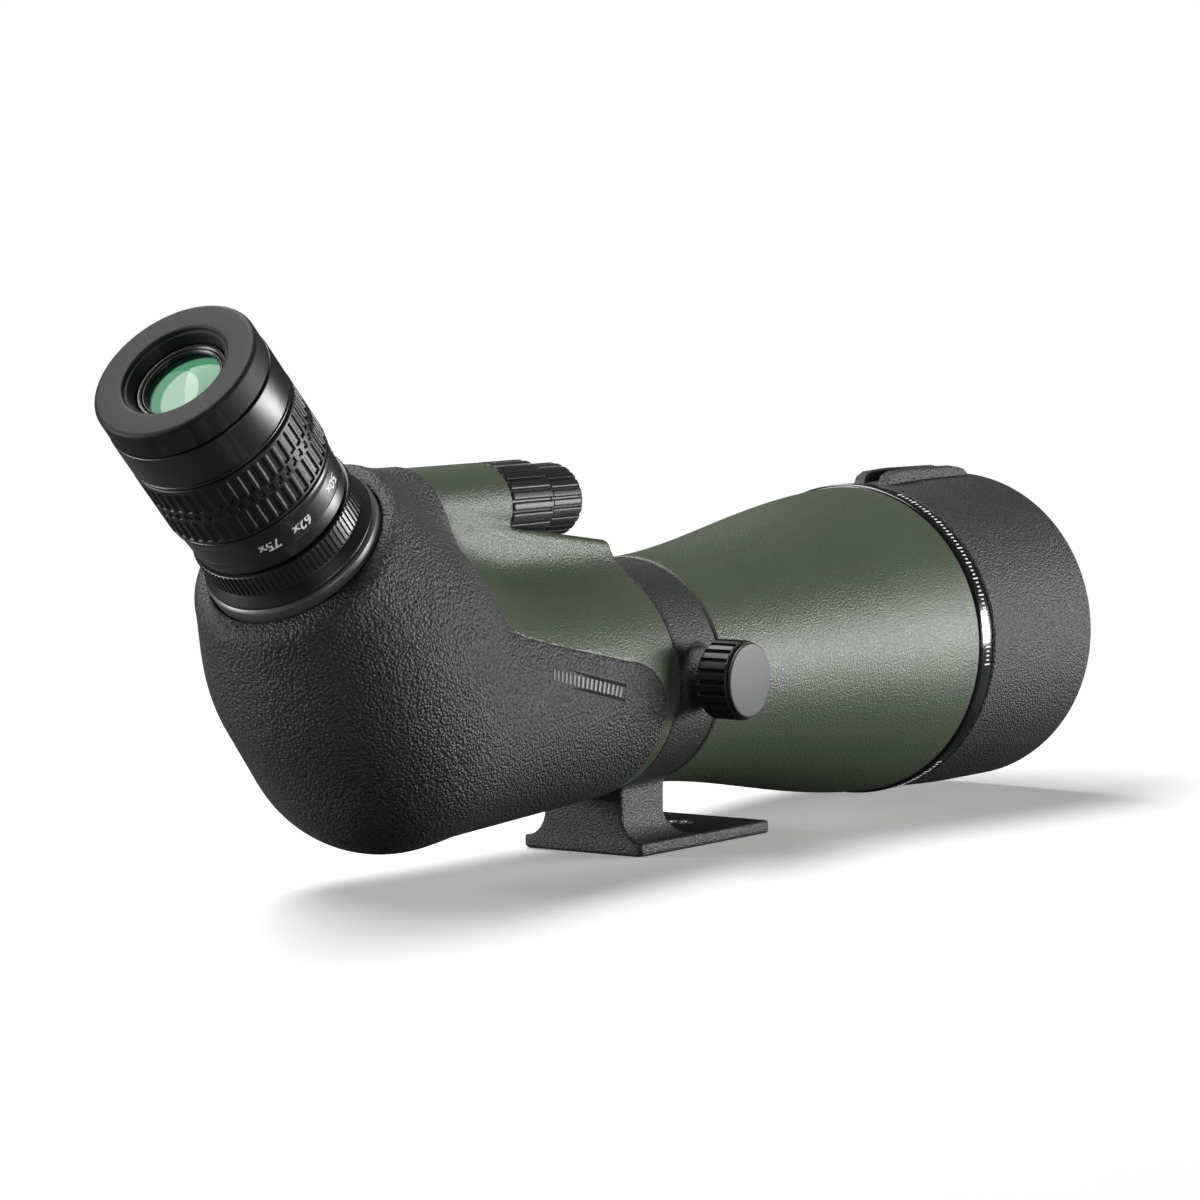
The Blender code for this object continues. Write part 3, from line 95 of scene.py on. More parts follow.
ARMOUR_EDGE = [(-78, 84), (-76, 70), (-70.5, 55), (-66.5, 42), (-69, 33), (-70.5, 27), (-66, 21.5),
               (-54, 18.2), (-33, 13.8), (-13, 9.7), (-2, 7.4), (5.6, 2.9), (9.8, -4), (11, -12), (11, -26),
               (11, -60)]

# Focus housing
FOCUS_HEIGHT = 55.2
FOCUS_HOUSING_RADIUS = 12.9
FOCUS_FACE = -36.7
FOCUS_BLEND = 9.0
FOCUS_REAR = -98.8
TROUGH_RADIUS = 13.6
TUNNEL_RADIUS = 9.5
TUNNEL_REAR = -82.0
WEB_HALF_WIDTH = 13.0
WEB_FRONT = 14.5
WEB_REAR_TOP = 49.4
WEB_FRONT_TOP = 42.5
FOCUS_POINT = np.array([0.0, 0.0, FOCUS_HEIGHT])

# Collar
COLLAR_REAR = 16.7
COLLAR_FRONT = 41.6
COLLAR_BORE = 32.9
COLLAR_REAR_RADIUS = 36.1
COLLAR_FRONT_RADIUS = 35.3
NECK_HALF_WIDTH = 14.6
NECK_FLARE = 8.6
FOOT_HALF_WIDTH = 22.1
FOOT_REAR = 17.1
FOOT_LENGTH = 73.7
FOOT_THICKNESS = 4.0
LOCK_HEIGHT = 0.6
LOCK_BOSS_RADIUS = 9.0
LOCK_BOSS_END = 40.7
LOCK_POINT = np.array([0.0, (COLLAR_REAR + COLLAR_FRONT) / 2, LOCK_HEIGHT])
COLLAR_BOX = ((-37.5, 15.0, -56.0), (42.5, 92.5, 38.0))

# Barrel
BARREL_REAR = 41.9
BARREL_FRONT = 172.6
BARREL_FLARE = 15.4
BARREL_FLARE_START = 33.7
BARREL_FLARE_END = 183.0
BARREL_WALL = 2.4
BARREL_MOUTH = 46.2
JOURNAL_RADIUS = 32.6
SPIGOT_RADIUS = 29.6
SPIGOT_BORE = 27.5
SPIGOT_REAR = 2.1

# Objective and hood
FRONT_RING_BORE = 47.9
CELL_RADIUS = 47.6
CELL_BORE = 42.8
CELL_SPIGOT_RADIUS = 45.7
BAFFLE_BORE = 44.3
FELT_SEAT_RADIUS = 46.6
RETAINER_BORE = 42.5
LENS_BULGE = 4.5
HOOD_REAR_RADIUS = 51.0
HOOD_FRONT_RADIUS = 52.0
HOOD_BORE = 49.8
HOOD_TUBE_BORE = 48.0

# Eyepiece
RING_BORE = 19.3
LOCK_RING_BORE = 19.6
KNURL_RADIUS = 24.8
DIAL_SPIGOT_RADIUS = 22.3
DIAL_LENGTH = 14.0
GRIP_BORE = 22.6
SLEEVE_BORE = 22.5
EYECUP_OPENING = 15.0
EYECUP_BORE = 14.2
LENS_MOUNT_BORE = 11.0
LENS_MOUNT_SPIGOT = 16.2
LENS_SEAT_RADIUS = 12.5
NECK_RADIUS = 13.7
NECK_LENGTH = 7.7
FLANGE_LENGTH = 10.0


# Settings


class ScopeFinishSettings(bpy.types.PropertyGroup):
    green_colour: FloatVectorProperty(
        name="Green paint", description="Colour of the textured paint on the barrel and the prism housing",
        default=(0.072, 0.091, 0.058), subtype="COLOR", min=0.0, max=1.0)
    armour_colour: FloatVectorProperty(
        name="Rubber armour", description="Colour of the pebbled rubber on the rear body and the hood",
        default=(0.030, 0.030, 0.031), subtype="COLOR", min=0.0, max=1.0)
    crinkle_colour: FloatVectorProperty(
        name="Crinkle black", description="Colour of the crinkle paint on the collar and its foot",
        default=(0.026, 0.026, 0.027), subtype="COLOR", min=0.0, max=1.0)
    satin_colour: FloatVectorProperty(
        name="Satin black", description="Colour of the anodised eyepiece parts",
        default=(0.012, 0.012, 0.012), subtype="COLOR", min=0.0, max=1.0)
    rubber_colour: FloatVectorProperty(
        name="Black rubber", description="Colour of the knobs, the grip and the eyecup",
        default=(0.010, 0.010, 0.0105), subtype="COLOR", min=0.0, max=1.0)
    grey_colour: FloatVectorProperty(
        name="Grey anodising", description="Colour of the eyepiece's base ring",
        default=(0.17, 0.17, 0.17), subtype="COLOR", min=0.0, max=1.0)
    print_colour: FloatVectorProperty(
        name="White print", description="Colour of the dial's numbers and of the marks on the front ring",
        default=(0.86, 0.86, 0.86), subtype="COLOR", min=0.0, max=1.0)
    # Colour of the painted glow on the eye lens, which stands in for its green reflection.
    painted_glow_colour: FloatVectorProperty(
        name="Painted lens glow", description="Colour of the painted reflection that the eye lens glows with",
        default=(0.085, 0.31, 0.165), subtype="COLOR", min=0.0, max=1.0)


class ScopeDetailSettings(bpy.types.PropertyGroup):
    skin_step: FloatProperty(
        name="Skin step", description="Distance between points on the cast and moulded skins",
        default=0.0008, min=0.0004, max=0.004, subtype="DISTANCE", unit="LENGTH")
    turned_sides: IntProperty(
        name="Turned sides", description="Sides of a smooth turned piece", default=192, min=24, max=512)
    knob_ribs: IntProperty(
        name="Knob ribs", description="Ribs round each focus knob", default=24, min=8, max=60)
    lock_ribs: IntProperty(
        name="Lock knob ribs", description="Ribs round the collar's lock knob", default=22, min=8, max=60)
    rib_depth: FloatProperty(
        name="Rib depth", description="Depth of the grooves between the ribs of a knob",
        default=0.0012, min=0.0, max=0.002, subtype="DISTANCE", unit="LENGTH")
    knurl_ribs: IntProperty(
        name="Knurl ribs", description="Ribs round the eyepiece's lock ring", default=90, min=24, max=160)
    grip_columns: IntProperty(
        name="Grip columns", description="Columns of slots round the zoom grip", default=48, min=12, max=96)
    slot_depth: FloatProperty(
        name="Slot depth", description="Depth of the slots in the zoom grip",
        default=0.0006, min=0.0, max=0.0015, subtype="DISTANCE", unit="LENGTH")


class ScopeStageSettings(bpy.types.PropertyGroup):
    top_power: FloatProperty(
        name="Top light", description="Power of the softbox above", default=17.0, min=0.0, unit="POWER")
    side_power: FloatProperty(
        name="Side light", description="Power of the softbox ahead on the right", default=25.0, min=0.0,
        unit="POWER")
    rear_power: FloatProperty(
        name="Rear light", description="Power of the softbox behind on the left", default=9.0, min=0.0,
        unit="POWER")
    fill_power: FloatProperty(
        name="Fill light", description="Power of the soft fill beside the camera", default=3.6, min=0.0,
        unit="POWER")
    surround: FloatProperty(
        name="Surround", description="Brightness of the room that the scope reflects", default=0.02, min=0.0)
    lens_length: FloatProperty(
        name="Camera lens", description="Focal length of the camera in millimetres", default=150.58, min=20.0)


# Curves and fields


def curve_through(points, steps):
    """A smooth line through the points."""
    points = np.array(points, float)
    padded = np.vstack([2 * points[0] - points[1], points, 2 * points[-1] - points[-2]])
    line = []
    for i in range(1, len(padded) - 2):
        before, start, end, beyond = padded[i - 1 : i + 3]
        for t in np.arange(steps) / steps:
            bend = 2 * before - 5 * start + 4 * end - beyond
            twist = 3 * start - before - 3 * end + beyond
            line.append(0.5 * (2 * start + (end - before) * t + bend * t * t + twist * t**3))
    line.append(points[-1])
    return np.array(line)


def eased(share):
    return share * share * (3 - 2 * share)


def smooth_union(first, second, blend):
    share = np.clip(0.5 + 0.5 * (second - first) / blend, 0, 1)
    return second + (first - second) * share - blend * share * (1 - share)


def smooth_cut(first, second, blend):
    """What lies inside both fields, with its edge rounded."""
    return -smooth_union(-first, -second, blend)


def round_cone(x, y, z, start, end, start_radius, end_radius):
    dy, dz = end[0] - start[0], end[1] - start[1]
    along = np.clip(((y - start[0]) * dy + (z - start[1]) * dz) / (dy * dy + dz * dz), 0, 1)
    away = np.sqrt(x * x + (y - start[0] - along * dy) ** 2 + (z - start[1] - along * dz) ** 2)
    return away - (start_radius + along * (end_radius - start_radius))


def from_eye_axis(x, y, z):
    """(height along the eyepiece's axis, distance from it)."""
    height = (y - EYEPIECE_POINT) * EYE_DIRECTION[1] + z * EYE_DIRECTION[2]
    return height, np.hypot(x, (y - EYEPIECE_POINT) * EYE_ACROSS[1] + z * EYE_ACROSS[2])


def body_field(x, y, z):
    """Distance outside the prism housing, negative inside."""
    barrel = round_cone(x, y, z, (BODY_FRONT + 14, 0.0), HEEL_START, BODY_RADIUS, HEEL_START_RADIUS)
    heel = round_cone(x, y, z, HEEL_START, HEEL_END, HEEL_START_RADIUS, HEEL_END_RADIUS)
    height, away = from_eye_axis(x, y, z)
    radius = PORT_BASE_RADIUS + (PORT_TOP_RADIUS - PORT_BASE_RADIUS) * np.clip(height / PORT_HEIGHT, 0, 1)
    port = smooth_cut(away - radius, -height - 14.0, 30.0)
    return smooth_union(np.minimum(barrel, heel), port, BODY_BLEND)


def whole_field(x, y, z):
    """The prism housing with the focus housing and the web under the knobs."""
    focus = np.maximum(np.hypot(x, z - FOCUS_HEIGHT) - FOCUS_HOUSING_RADIUS, y - FOCUS_FACE - 4.0)
    slope = (WEB_FRONT_TOP - WEB_REAR_TOP) / (WEB_FRONT - FOCUS_FACE)
    top = WEB_REAR_TOP + slope * (y - FOCUS_FACE)
    web = smooth_cut(np.abs(x) - WEB_HALF_WIDTH, np.maximum(z - top, -z), 2.5)
    web = smooth_cut(web, y - WEB_FRONT, 2.5)
    raised = np.maximum(smooth_union(focus, web, 2.0), FOCUS_REAR - y)
    return smooth_union(body_field(x, y, z), raised, FOCUS_BLEND)


def edge_map():
    """A function of (y, z): how far ahead of the armour's front edge a point lies, from the side."""
    step, low_y, low_z = 0.5, -154.0, -62.0
    line = curve_through(ARMOUR_EDGE, 6)
    ys, zs = np.arange(low_y, 26.0, step), np.arange(low_z, 92.0, step)
    points = np.stack(np.meshgrid(ys, zs, indexing="ij"), axis=-1)
    nearest = np.full(points.shape[:2], np.inf)
    ahead = np.zeros(points.shape[:2])
    for start, end in zip(line, line[1:]):
        along = end - start
        share = np.clip(((points - start) @ along) / (along @ along), 0, 1)
        away = points - start - share[..., None] * along
        distance = np.linalg.norm(away, axis=2)
        side = away[..., 1] * along[0] - away[..., 0] * along[1]
        closer = distance < nearest
        ahead = np.where(closer, np.copysign(distance, side), ahead)
        nearest = np.minimum(nearest, distance)

    def distance_ahead(y, z):
        row = np.clip((y - low_y) / step, 0, len(ys) - 1.001)
        column = np.clip((z - low_z) / step, 0, len(zs) - 1.001)
        i, j = np.floor(row).astype(int), np.floor(column).astype(int)
        u, v = row - i, column - j
        near = ahead[i, j] * (1 - v) + ahead[i, j + 1] * v
        far = ahead[i + 1, j] * (1 - v) + ahead[i + 1, j + 1] * v
        return near * (1 - u) + far * u

    return distance_ahead


def housing_field(ahead_of_edge):
    """The green casting: it sinks under the armour, and is bored for barrel, eyepiece and focus drive."""

    def field(x, y, z):
        skin = whole_field(x, y, z) + ARMOUR_SEAT_DEPTH * np.clip(-0.4 - ahead_of_edge(y, z) / 1.6, 0, 1)
        skin = smooth_cut(skin, y - BODY_FRONT, 0.8)
        height, away = from_eye_axis(x, y, z)
        skin = np.maximum(skin, height - LIP_BOTTOM + 0.3)
        from_focus = np.hypot(x, z - FOCUS_HEIGHT)
        skin = smooth_cut(skin, -np.maximum(from_focus - TROUGH_RADIUS, FOCUS_FACE - y), 0.6)
        inside = np.maximum(body_field(x, y, z) + BODY_WALL, np.maximum(y - 12.0, height - 58.0))
        seat = np.maximum(np.hypot(x, z) - BARREL_SEAT_RADIUS, BARREL_SEAT_REAR - y)
        bore = np.maximum(away - PORT_BORE, 34.0 - height)
        counterbore = np.maximum(away - PORT_COUNTERBORE, PORT_STEP - height)
        tunnel = np.maximum(from_focus - TUNNEL_RADIUS, np.maximum(TUNNEL_REAR - y, y - FOCUS_FACE + 3.4))
        bush = np.maximum(from_focus - 6.3, FOCUS_FACE - 6.0 - y)
        slot = np.maximum(np.maximum(np.abs(x) - 5.2, np.maximum(-69.0 - y, y + 40.6)), 18.0 - z)
        slot = np.maximum(slot, z - FOCUS_HEIGHT)
        hollow = np.minimum.reduce(np.broadcast_arrays(inside, seat, bore, counterbore, tunnel, bush, slot))
        return np.maximum(skin, -hollow)

    return field


def armour_field(ahead_of_edge):
    """The moulded rubber over the heel and the port, with a rounded lip all round."""

    def field(x, y, z):
        body = whole_field(x, y, z)
        height, away = from_eye_axis(x, y, z)
        skin = smooth_cut(body - ARMOUR_PROUD, ahead_of_edge(y, z) + 0.3, 1.3)
        skin = smooth_cut(skin, height - PORT_HEIGHT - 1.8, 4.6)
        skin = smooth_cut(skin, PORT_COUNTERBORE + 0.2 - away - 60.0 * (height < 40.0), 0.8)
        return np.maximum(skin, -body - ARMOUR_DEPTH - 10.0 * (height > LIP_BOTTOM))

    return field


def collar_field(x, y, z):
    """Ring, lock boss, neck and foot as one casting."""
    away = np.hypot(x, z)
    slope = (COLLAR_FRONT_RADIUS - COLLAR_REAR_RADIUS) / (COLLAR_FRONT - COLLAR_REAR)
    middle, half = (COLLAR_REAR + COLLAR_FRONT) / 2, (COLLAR_FRONT - COLLAR_REAR) / 2
    ring = smooth_cut(away - COLLAR_REAR_RADIUS - slope * (y - COLLAR_REAR), np.abs(y - middle) - half, 1.6)
    boss = np.hypot(y - LOCK_POINT[1], z - LOCK_HEIGHT) - LOCK_BOSS_RADIUS
    boss = smooth_cut(boss, np.maximum(x - LOCK_BOSS_END, 20.0 - x), 1.2)
    plate_top = FOOT_THICKNESS - AXIS_HEIGHT
    level = np.clip(NECK_FLARE - (z - plate_top), 0, NECK_FLARE)
    flare = NECK_FLARE - np.sqrt(NECK_FLARE**2 - level**2 + 1e-9)
    sides = np.abs(x) - NECK_HALF_WIDTH - 0.85 * flare
    ends = np.maximum(y - COLLAR_FRONT + 0.6 - flare, FOOT_REAR + 0.4 - y)
    neck = smooth_cut(sides, ends, 1.4)
    neck = np.maximum(neck, np.maximum(z + COLLAR_BORE, -AXIS_HEIGHT + 1.0 - z))
    corner = 2.6
    far_x = np.abs(x) - FOOT_HALF_WIDTH + corner
    far_y = np.abs(y - FOOT_CENTRE) - FOOT_LENGTH / 2 + corner
    plate = np.hypot(np.maximum(far_x, 0), np.maximum(far_y, 0)) - corner
    plate = plate + np.minimum(np.maximum(far_x, far_y), 0)
    plate = smooth_cut(plate, np.abs(z - plate_top + FOOT_THICKNESS / 2) - FOOT_THICKNESS / 2, 1.1)
    whole = smooth_union(smooth_union(smooth_union(ring, boss, 2.6), neck, 2.4), plate, 0.9)
    whole = smooth_cut(whole, COLLAR_BORE - away, 0.7)
    large = np.maximum(np.hypot(x, y - LOCK_POINT[1]) - 6.7, z + AXIS_HEIGHT - 12.3)
    small = np.hypot(x, y - FOOT_CENTRE - 17.0) - 5.1
    lock = np.maximum(np.hypot(y - LOCK_POINT[1], z - LOCK_HEIGHT) - 3.3, -x)
    pad = np.maximum(np.hypot(y - LOCK_POINT[1], z - LOCK_HEIGHT) - 6.3, np.maximum(x - 36.4, -x))
    holes = np.minimum.reduce(np.broadcast_arrays(large, np.maximum(small, z + 45.0), lock, pad))
    return np.maximum(whole, -holes)


def skin_of(field, low, high, step):
    """(points, faces) of the surface where the field is zero, one point for each cell that it crosses."""
    axes = [np.arange(a, b + step, step) for a, b in zip(low, high)]
    values = np.broadcast_to(field(axes[0][:, None, None], axes[1][None, :, None], axes[2][None, None, :]),
                             [len(a) for a in axes])
    inside = values < 0
    shape = np.array(inside.shape) - 1
    corners = list(itertools.product((0, 1), repeat=3))
    wide, deep, tall = shape
    count = sum(inside[i : i + wide, j : j + deep, k : k + tall].astype(np.int8) for i, j, k in corners)
    cells = np.argwhere((count > 0) & (count < 8))
    index = np.full(shape, -1)
    index[tuple(cells.T)] = np.arange(len(cells))
    at = [values[tuple((cells + corner).T)] for corner in corners]
    total, hits = np.zeros((len(cells), 3)), np.zeros(len(cells))
    for one, other in itertools.combinations(range(8), 2):
        start, end = np.array(corners[one]), np.array(corners[other])
        if abs(end - start).sum() != 1:
            continue
        crosses = (at[one] < 0) != (at[other] < 0)
        share = np.where(crosses, at[one] / np.where(crosses, at[one] - at[other], 1.0), 0.0)
        total += np.where(crosses[:, None], start + share[:, None] * (end - start), 0.0)
        hits += crosses
    points = np.array([a[0] for a in axes]) + (cells + total / hits[:, None]) * step
    for _ in range(3):
        points = nearer_the_skin(field, points, 0.6 * step)
    faces = []
    for axis in range(3):
        one, other = (axis + 1) % 3, (axis + 2) % 3
        first = np.moveaxis(inside, axis, 0)[:-1]
        second = np.moveaxis(inside, axis, 0)[1:]
        edges = np.argwhere(np.moveaxis(first != second, 0, axis))
        edges = edges[(edges[:, one] > 0) & (edges[:, other] > 0)
                      & (edges[:, one] < shape[one]) & (edges[:, other] < shape[other])]
        outward = inside[tuple(edges.T)]
        around = []
        for u, v in ((-1, -1), (0, -1), (0, 0), (-1, 0)):
            cell = edges.copy()
            cell[:, one] += u
            cell[:, other] += v
            around.append(index[tuple(cell.T)])
        quads = np.stack(around, axis=1)
        quads[~outward] = quads[~outward][:, ::-1]
        faces.append(quads)
    return points, np.concatenate(faces)


def nearer_the_skin(field, points, longest):
    """The points moved along the field's slope to where it is zero."""
    nudge = 0.05
    slope = np.empty_like(points)
    for axis in range(3):
        shift = np.zeros(3)
        shift[axis] = nudge
        slope[:, axis] = (field(*(points + shift).T) - field(*(points - shift).T)) / (2 * nudge)
    depth = field(*points.T)
    move = -depth[:, None] * slope / np.maximum((slope**2).sum(axis=1), 0.1)[:, None]
    length = np.linalg.norm(move, axis=1)
    return points + move * np.minimum(1.0, longest / np.maximum(length, 1e-9))[:, None]


# Pieces


def settled(points):
    return (np.asarray(points, float) + OPTICAL_ORIGIN) * MM


def reach_of(node, start, direction):
    """(lowest, highest, widest) of an assembly node along an axis, in millimetres."""
    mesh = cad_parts[node].data
    points = np.empty(len(mesh.vertices) * 3, np.float32)
    mesh.vertices.foreach_get("co", points)
    points = points.reshape(-1, 3) / MM - OPTICAL_ORIGIN - start
    height = points @ direction
    away = np.linalg.norm(points - height[:, None] * direction, axis=1)
    return float(height.min()), float(height.max()), float(away.max())


def add_piece(name, points, faces, finish, body, stands_for=(), slot=None, crease=42):
    """A smooth-shaded mesh piece that rides on a body and stands for assembly nodes."""
    points = settled(points)
    mesh = bpy.data.meshes.new(name)
    mesh.from_pydata(points.tolist(), [], [list(face) for face in faces])
    fans = np.array([(f[0], f[i], f[i + 1]) for f in faces for i in range(1, len(f) - 1)])
    a, b, c = (points[fans[:, i]] - points.mean(axis=0) for i in range(3))
    if np.einsum("ij,ij->i", a, np.cross(b, c)).sum() < 0:
        mesh.flip_normals()
    mesh.shade_smooth()
    mesh.set_sharp_from_angle(angle=math.radians(crease))
    mesh.materials.append(finish)
    piece = bpy.data.objects.new(name, mesh)
    bpy.context.scene.collection.objects.link(piece)
    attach(piece, body)
    if stands_for:
        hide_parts(*stands_for)
    return piece


def softened(loop, size=0.35, steps=3):
    """A closed loop of (radius, height) points with its corners rounded."""
    loop = [np.array(point, float) for point in loop]
    line = []
    for i, corner in enumerate(loop):
        before, after = loop[i - 1], loop[(i + 1) % len(loop)]
        back, on = before - corner, after - corner
        back_length, on_length = np.linalg.norm(back), np.linalg.norm(on)
        turning = abs(back[0] * on[1] - back[1] * on[0]) / max(back_length * on_length, 1e-9)
        if corner[0] < 0.01 or turning < 0.03:
            line.append(corner)
            continue
        reach = min(size, 0.45 * back_length, 0.45 * on_length)
        start, end = corner + back / back_length * reach, corner + on / on_length * reach
        for t in np.arange(steps + 1) / steps:
            line.append((1 - t) ** 2 * start + 2 * t * (1 - t) * corner + t * t * end)
    return line


def divided(loop, longest):
    """The closed loop with points added, so that no side is longer than this."""
    line = []
    for start, end in zip(loop, loop[1:] + loop[:1]):
        steps = max(1, math.ceil(np.linalg.norm(np.array(end) - np.array(start)) / longest))
        line += [np.array(start) + (np.array(end) - np.array(start)) * i / steps for i in range(steps)]
    return line


def turned_mesh(loop, angles, start, direction, across, side, relief=None):
    """(points, faces) of a closed loop of (radius, height) turned about an axis.

    relief(angle, radius, height) is how far each point is sunk towards the axis.
    """
    loop = np.array(loop, float)
    angles = np.asarray(angles, float)
    radius = np.repeat(loop[:, 0][:, None], len(angles), axis=1)
    height = np.repeat(loop[:, 1][:, None], len(angles), axis=1)
    turn = np.repeat(angles[None, :], len(loop), axis=0)
    if relief is not None:
        radius = np.where(radius > 0.01, radius - relief(turn, radius, height), radius)
    points = (start + height[..., None] * direction
              + radius[..., None] * (np.cos(turn)[..., None] * across + np.sin(turn)[..., None] * side))
    index = np.arange(points.shape[0] * points.shape[1]).reshape(points.shape[:2])
    index[loop[:, 0] < 0.01] = index[loop[:, 0] < 0.01][:, :1]
    above, beside = np.roll(index, -1, axis=0), np.roll(index, -1, axis=1)
    both = np.roll(above, -1, axis=1)
    faces = []
    for corners in np.stack([index, beside, both, above], axis=-1).reshape(-1, 4).tolist():
        kept = list(dict.fromkeys(corners))
        if len(kept) > 2:
            faces.append(kept)
    flat = points.reshape(-1, 3)
    used = sorted({i for face in faces for i in face})
    renumbered = {old: new for new, old in enumerate(used)}
    return flat[used], [[renumbered[i] for i in face] for face in faces]


def turned_piece(name, loop, axis, finish, body, stands_for=(), slot=None, sides=None, relief=None,
                 angles=None, crease=42):
    sides = sides or bpy.context.scene.scope_detail.turned_sides
    angles = np.arange(sides) * 2 * math.pi / sides if angles is None else angles
    points, faces = turned_mesh(loop, angles, *axis, relief)
    return add_piece(name, points, faces, finish, body, stands_for, slot, crease)


MAIN_AXIS = (np.zeros(3), AHEAD, UP, RIGHT)
EYE_AXIS = (EYE_ORIGIN, EYE_DIRECTION, EYE_ACROSS, RIGHT)
FOCUS_AXIS = (FOCUS_POINT, AHEAD, UP, RIGHT)
LOCK_AXIS = (LOCK_POINT, RIGHT, UP, AHEAD)


def ribs(count, depth, low, high, outer, land=0.6, run=0.8):
    """A relief of grooves along the outside of a turned piece, between two heights."""

    def relief(turn, radius, height):
        phase = np.abs((turn * count / (2 * math.pi)) % 1.0 - 0.5) * 2
        groove = eased(np.clip((1 - phase - land) / 0.12 + 0.5, 0, 1))
        ends = np.clip(np.minimum(height - low, high - height) / run, 0, 1)
        outside = np.clip((radius - outer + 2.0) / 0.8, 0, 1)
        return depth * groove * ends * outside

    return relief


def wrapped_mesh(outline_points, faces, axis, turn, height, radius, raised):
    """Flat (across, up) shapes laid round an axis with their tops towards the axis's start."""
    start, direction, across, side = axis
    outline_points = np.asarray(outline_points, float)
    normal = math.cos(turn) * across + math.sin(turn) * side
    tangent = -math.sin(turn) * across + math.cos(turn) * side
    handed = 1.0 if np.cross(-direction, normal) @ tangent > 0 else -1.0
    angles = turn + handed * outline_points[:, 0] / radius
    heights = height - outline_points[:, 1]
    out = radius + raised * outline_points[:, 2]
    points = (start + heights[:, None] * direction
              + out[:, None] * (np.cos(angles)[:, None] * across + np.sin(angles)[:, None] * side))
    return points, faces


def bar_mesh(width, length, lean=0.0, steps=4):
    """A bar with thickness, from -1 to 1 in its third value, as (points, faces)."""
    points, faces = [], []
    for level in (-1.0, 1.0):
        for i in range(steps + 1):
            for end in (-0.5, 0.5):
                points.append((width * (i / steps - 0.5) + lean * end, length * end, level))
    row = 2 * (steps + 1)
    for i in range(steps):
        a = 2 * i
        faces.append([a, a + 2, a + 3, a + 1])
        faces.append([row + a, row + a + 1, row + a + 3, row + a + 2])
        faces.append([a, row + a, row + a + 2, a + 2])
        faces.append([a + 1, a + 3, row + a + 3, row + a + 1])
    last = 2 * steps
    faces.append([0, 1, row + 1, row])
    faces.append([last, row + last, row + last + 1, last + 1])
    return points, faces


def joined(parts):
    points, faces, base = [], [], 0
    for some_points, some_faces in parts:
        points.extend(np.asarray(some_points).tolist())
        faces.extend([[i + base for i in face] for face in some_faces])
        base += len(some_points)
    return np.array(points), faces


# Shared shader groups


def shader_group(name, inputs, outputs):
    """An empty node group with named sockets, or the one made before, and whether it is new."""
    if name in bpy.data.node_groups:
        return bpy.data.node_groups[name], False
    group = bpy.data.node_groups.new(name, "ShaderNodeTree")
    for label, kind, default in inputs:
        socket = group.interface.new_socket(label, in_out="INPUT", socket_type=kind)
        socket.default_value = default
    for label, kind in outputs:
        group.interface.new_socket(label, in_out="OUTPUT", socket_type=kind)
    return group, True


def fill_in(made, **values):
    """Sets a node's own properties, and its inputs, whose names take _ for a space."""
    for key, value in values.items():
        if hasattr(made, key):
            setattr(made, key, value)
        else:
            made.inputs[key.replace("_", " ")].default_value = value


def node(tree, kind, **values):
    made = tree.nodes.new(kind)
    fill_in(made, **values)
    return made


def feed(tree, value, socket):
    """Links a socket to another, or gives it a plain value."""
    if isinstance(value, bpy.types.NodeSocket):
        tree.links.new(value, socket)
    else:
        socket.default_value = value


def math_node(tree, operation, first, second=None):
    made = node(tree, "ShaderNodeMath", operation=operation)
    feed(tree, first, made.inputs[0])
    if second is not None:
        feed(tree, second, made.inputs[1])
    return made.outputs[0]


def mix_colour(tree, factor, first, second):
    made = node(tree, "ShaderNodeMix", data_type="RGBA")
    for label, value in (("Factor", factor), ("A", first), ("B", second)):
        feed(tree, value, made.inputs[label])
    return made.outputs["Result"]


def mapped(tree, value, **limits):
    """The value mapped from one range to another."""
    made = node(tree, "ShaderNodeMapRange", **limits)
    feed(tree, value, made.inputs["Value"])
    return made.outputs["Result"]


def mix_shader(tree, factor, first, second):
    made = node(tree, "ShaderNodeMixShader")
    for value, socket in zip((factor, first.outputs[0], second.outputs[0]), made.inputs):
        tree.links.new(value, socket)
    return made


def pebble_group():
    """Rounded pebbles over finer grit, sized in metres: the height, and a mask of the pebbles' tops."""
    group, new = shader_group(
        "moulded_pebble",
        [("Pebble Size", "NodeSocketFloat", 0.001), ("Fineness", "NodeSocketFloat", 0.5)],
        [("Height", "NodeSocketFloat"), ("Tops", "NodeSocketFloat")])
    if not new:
        return group
    ins, outs = node(group, "NodeGroupInput"), node(group, "NodeGroupOutput")
    place = node(group, "ShaderNodeTexCoord")
    scale = math_node(group, "DIVIDE", 1.0, ins.outputs["Pebble Size"])
    cells = node(group, "ShaderNodeTexVoronoi", feature="SMOOTH_F1", Smoothness=0.6)
    grit = node(group, "ShaderNodeTexNoise", Detail=3.0, Roughness=0.62)
    for texture, factor in ((cells, 0.9), (grit, 1.6)):
        group.links.new(place.outputs["Object"], texture.inputs["Vector"])
        group.links.new(math_node(group, "MULTIPLY", scale, factor), texture.inputs["Scale"])
    pebble = math_node(group, "SUBTRACT", 1.0, cells.outputs["Distance"])
    fine = math_node(group, "MULTIPLY", grit.outputs["Fac"], ins.outputs["Fineness"])
    height = math_node(group, "ADD", pebble, fine)
    tops = mapped(group, height, interpolation_type="SMOOTHSTEP", From_Min=0.55, From_Max=1.15)
    group.links.new(height, outs.inputs["Height"])
    group.links.new(tops, outs.inputs["Tops"])
    return group


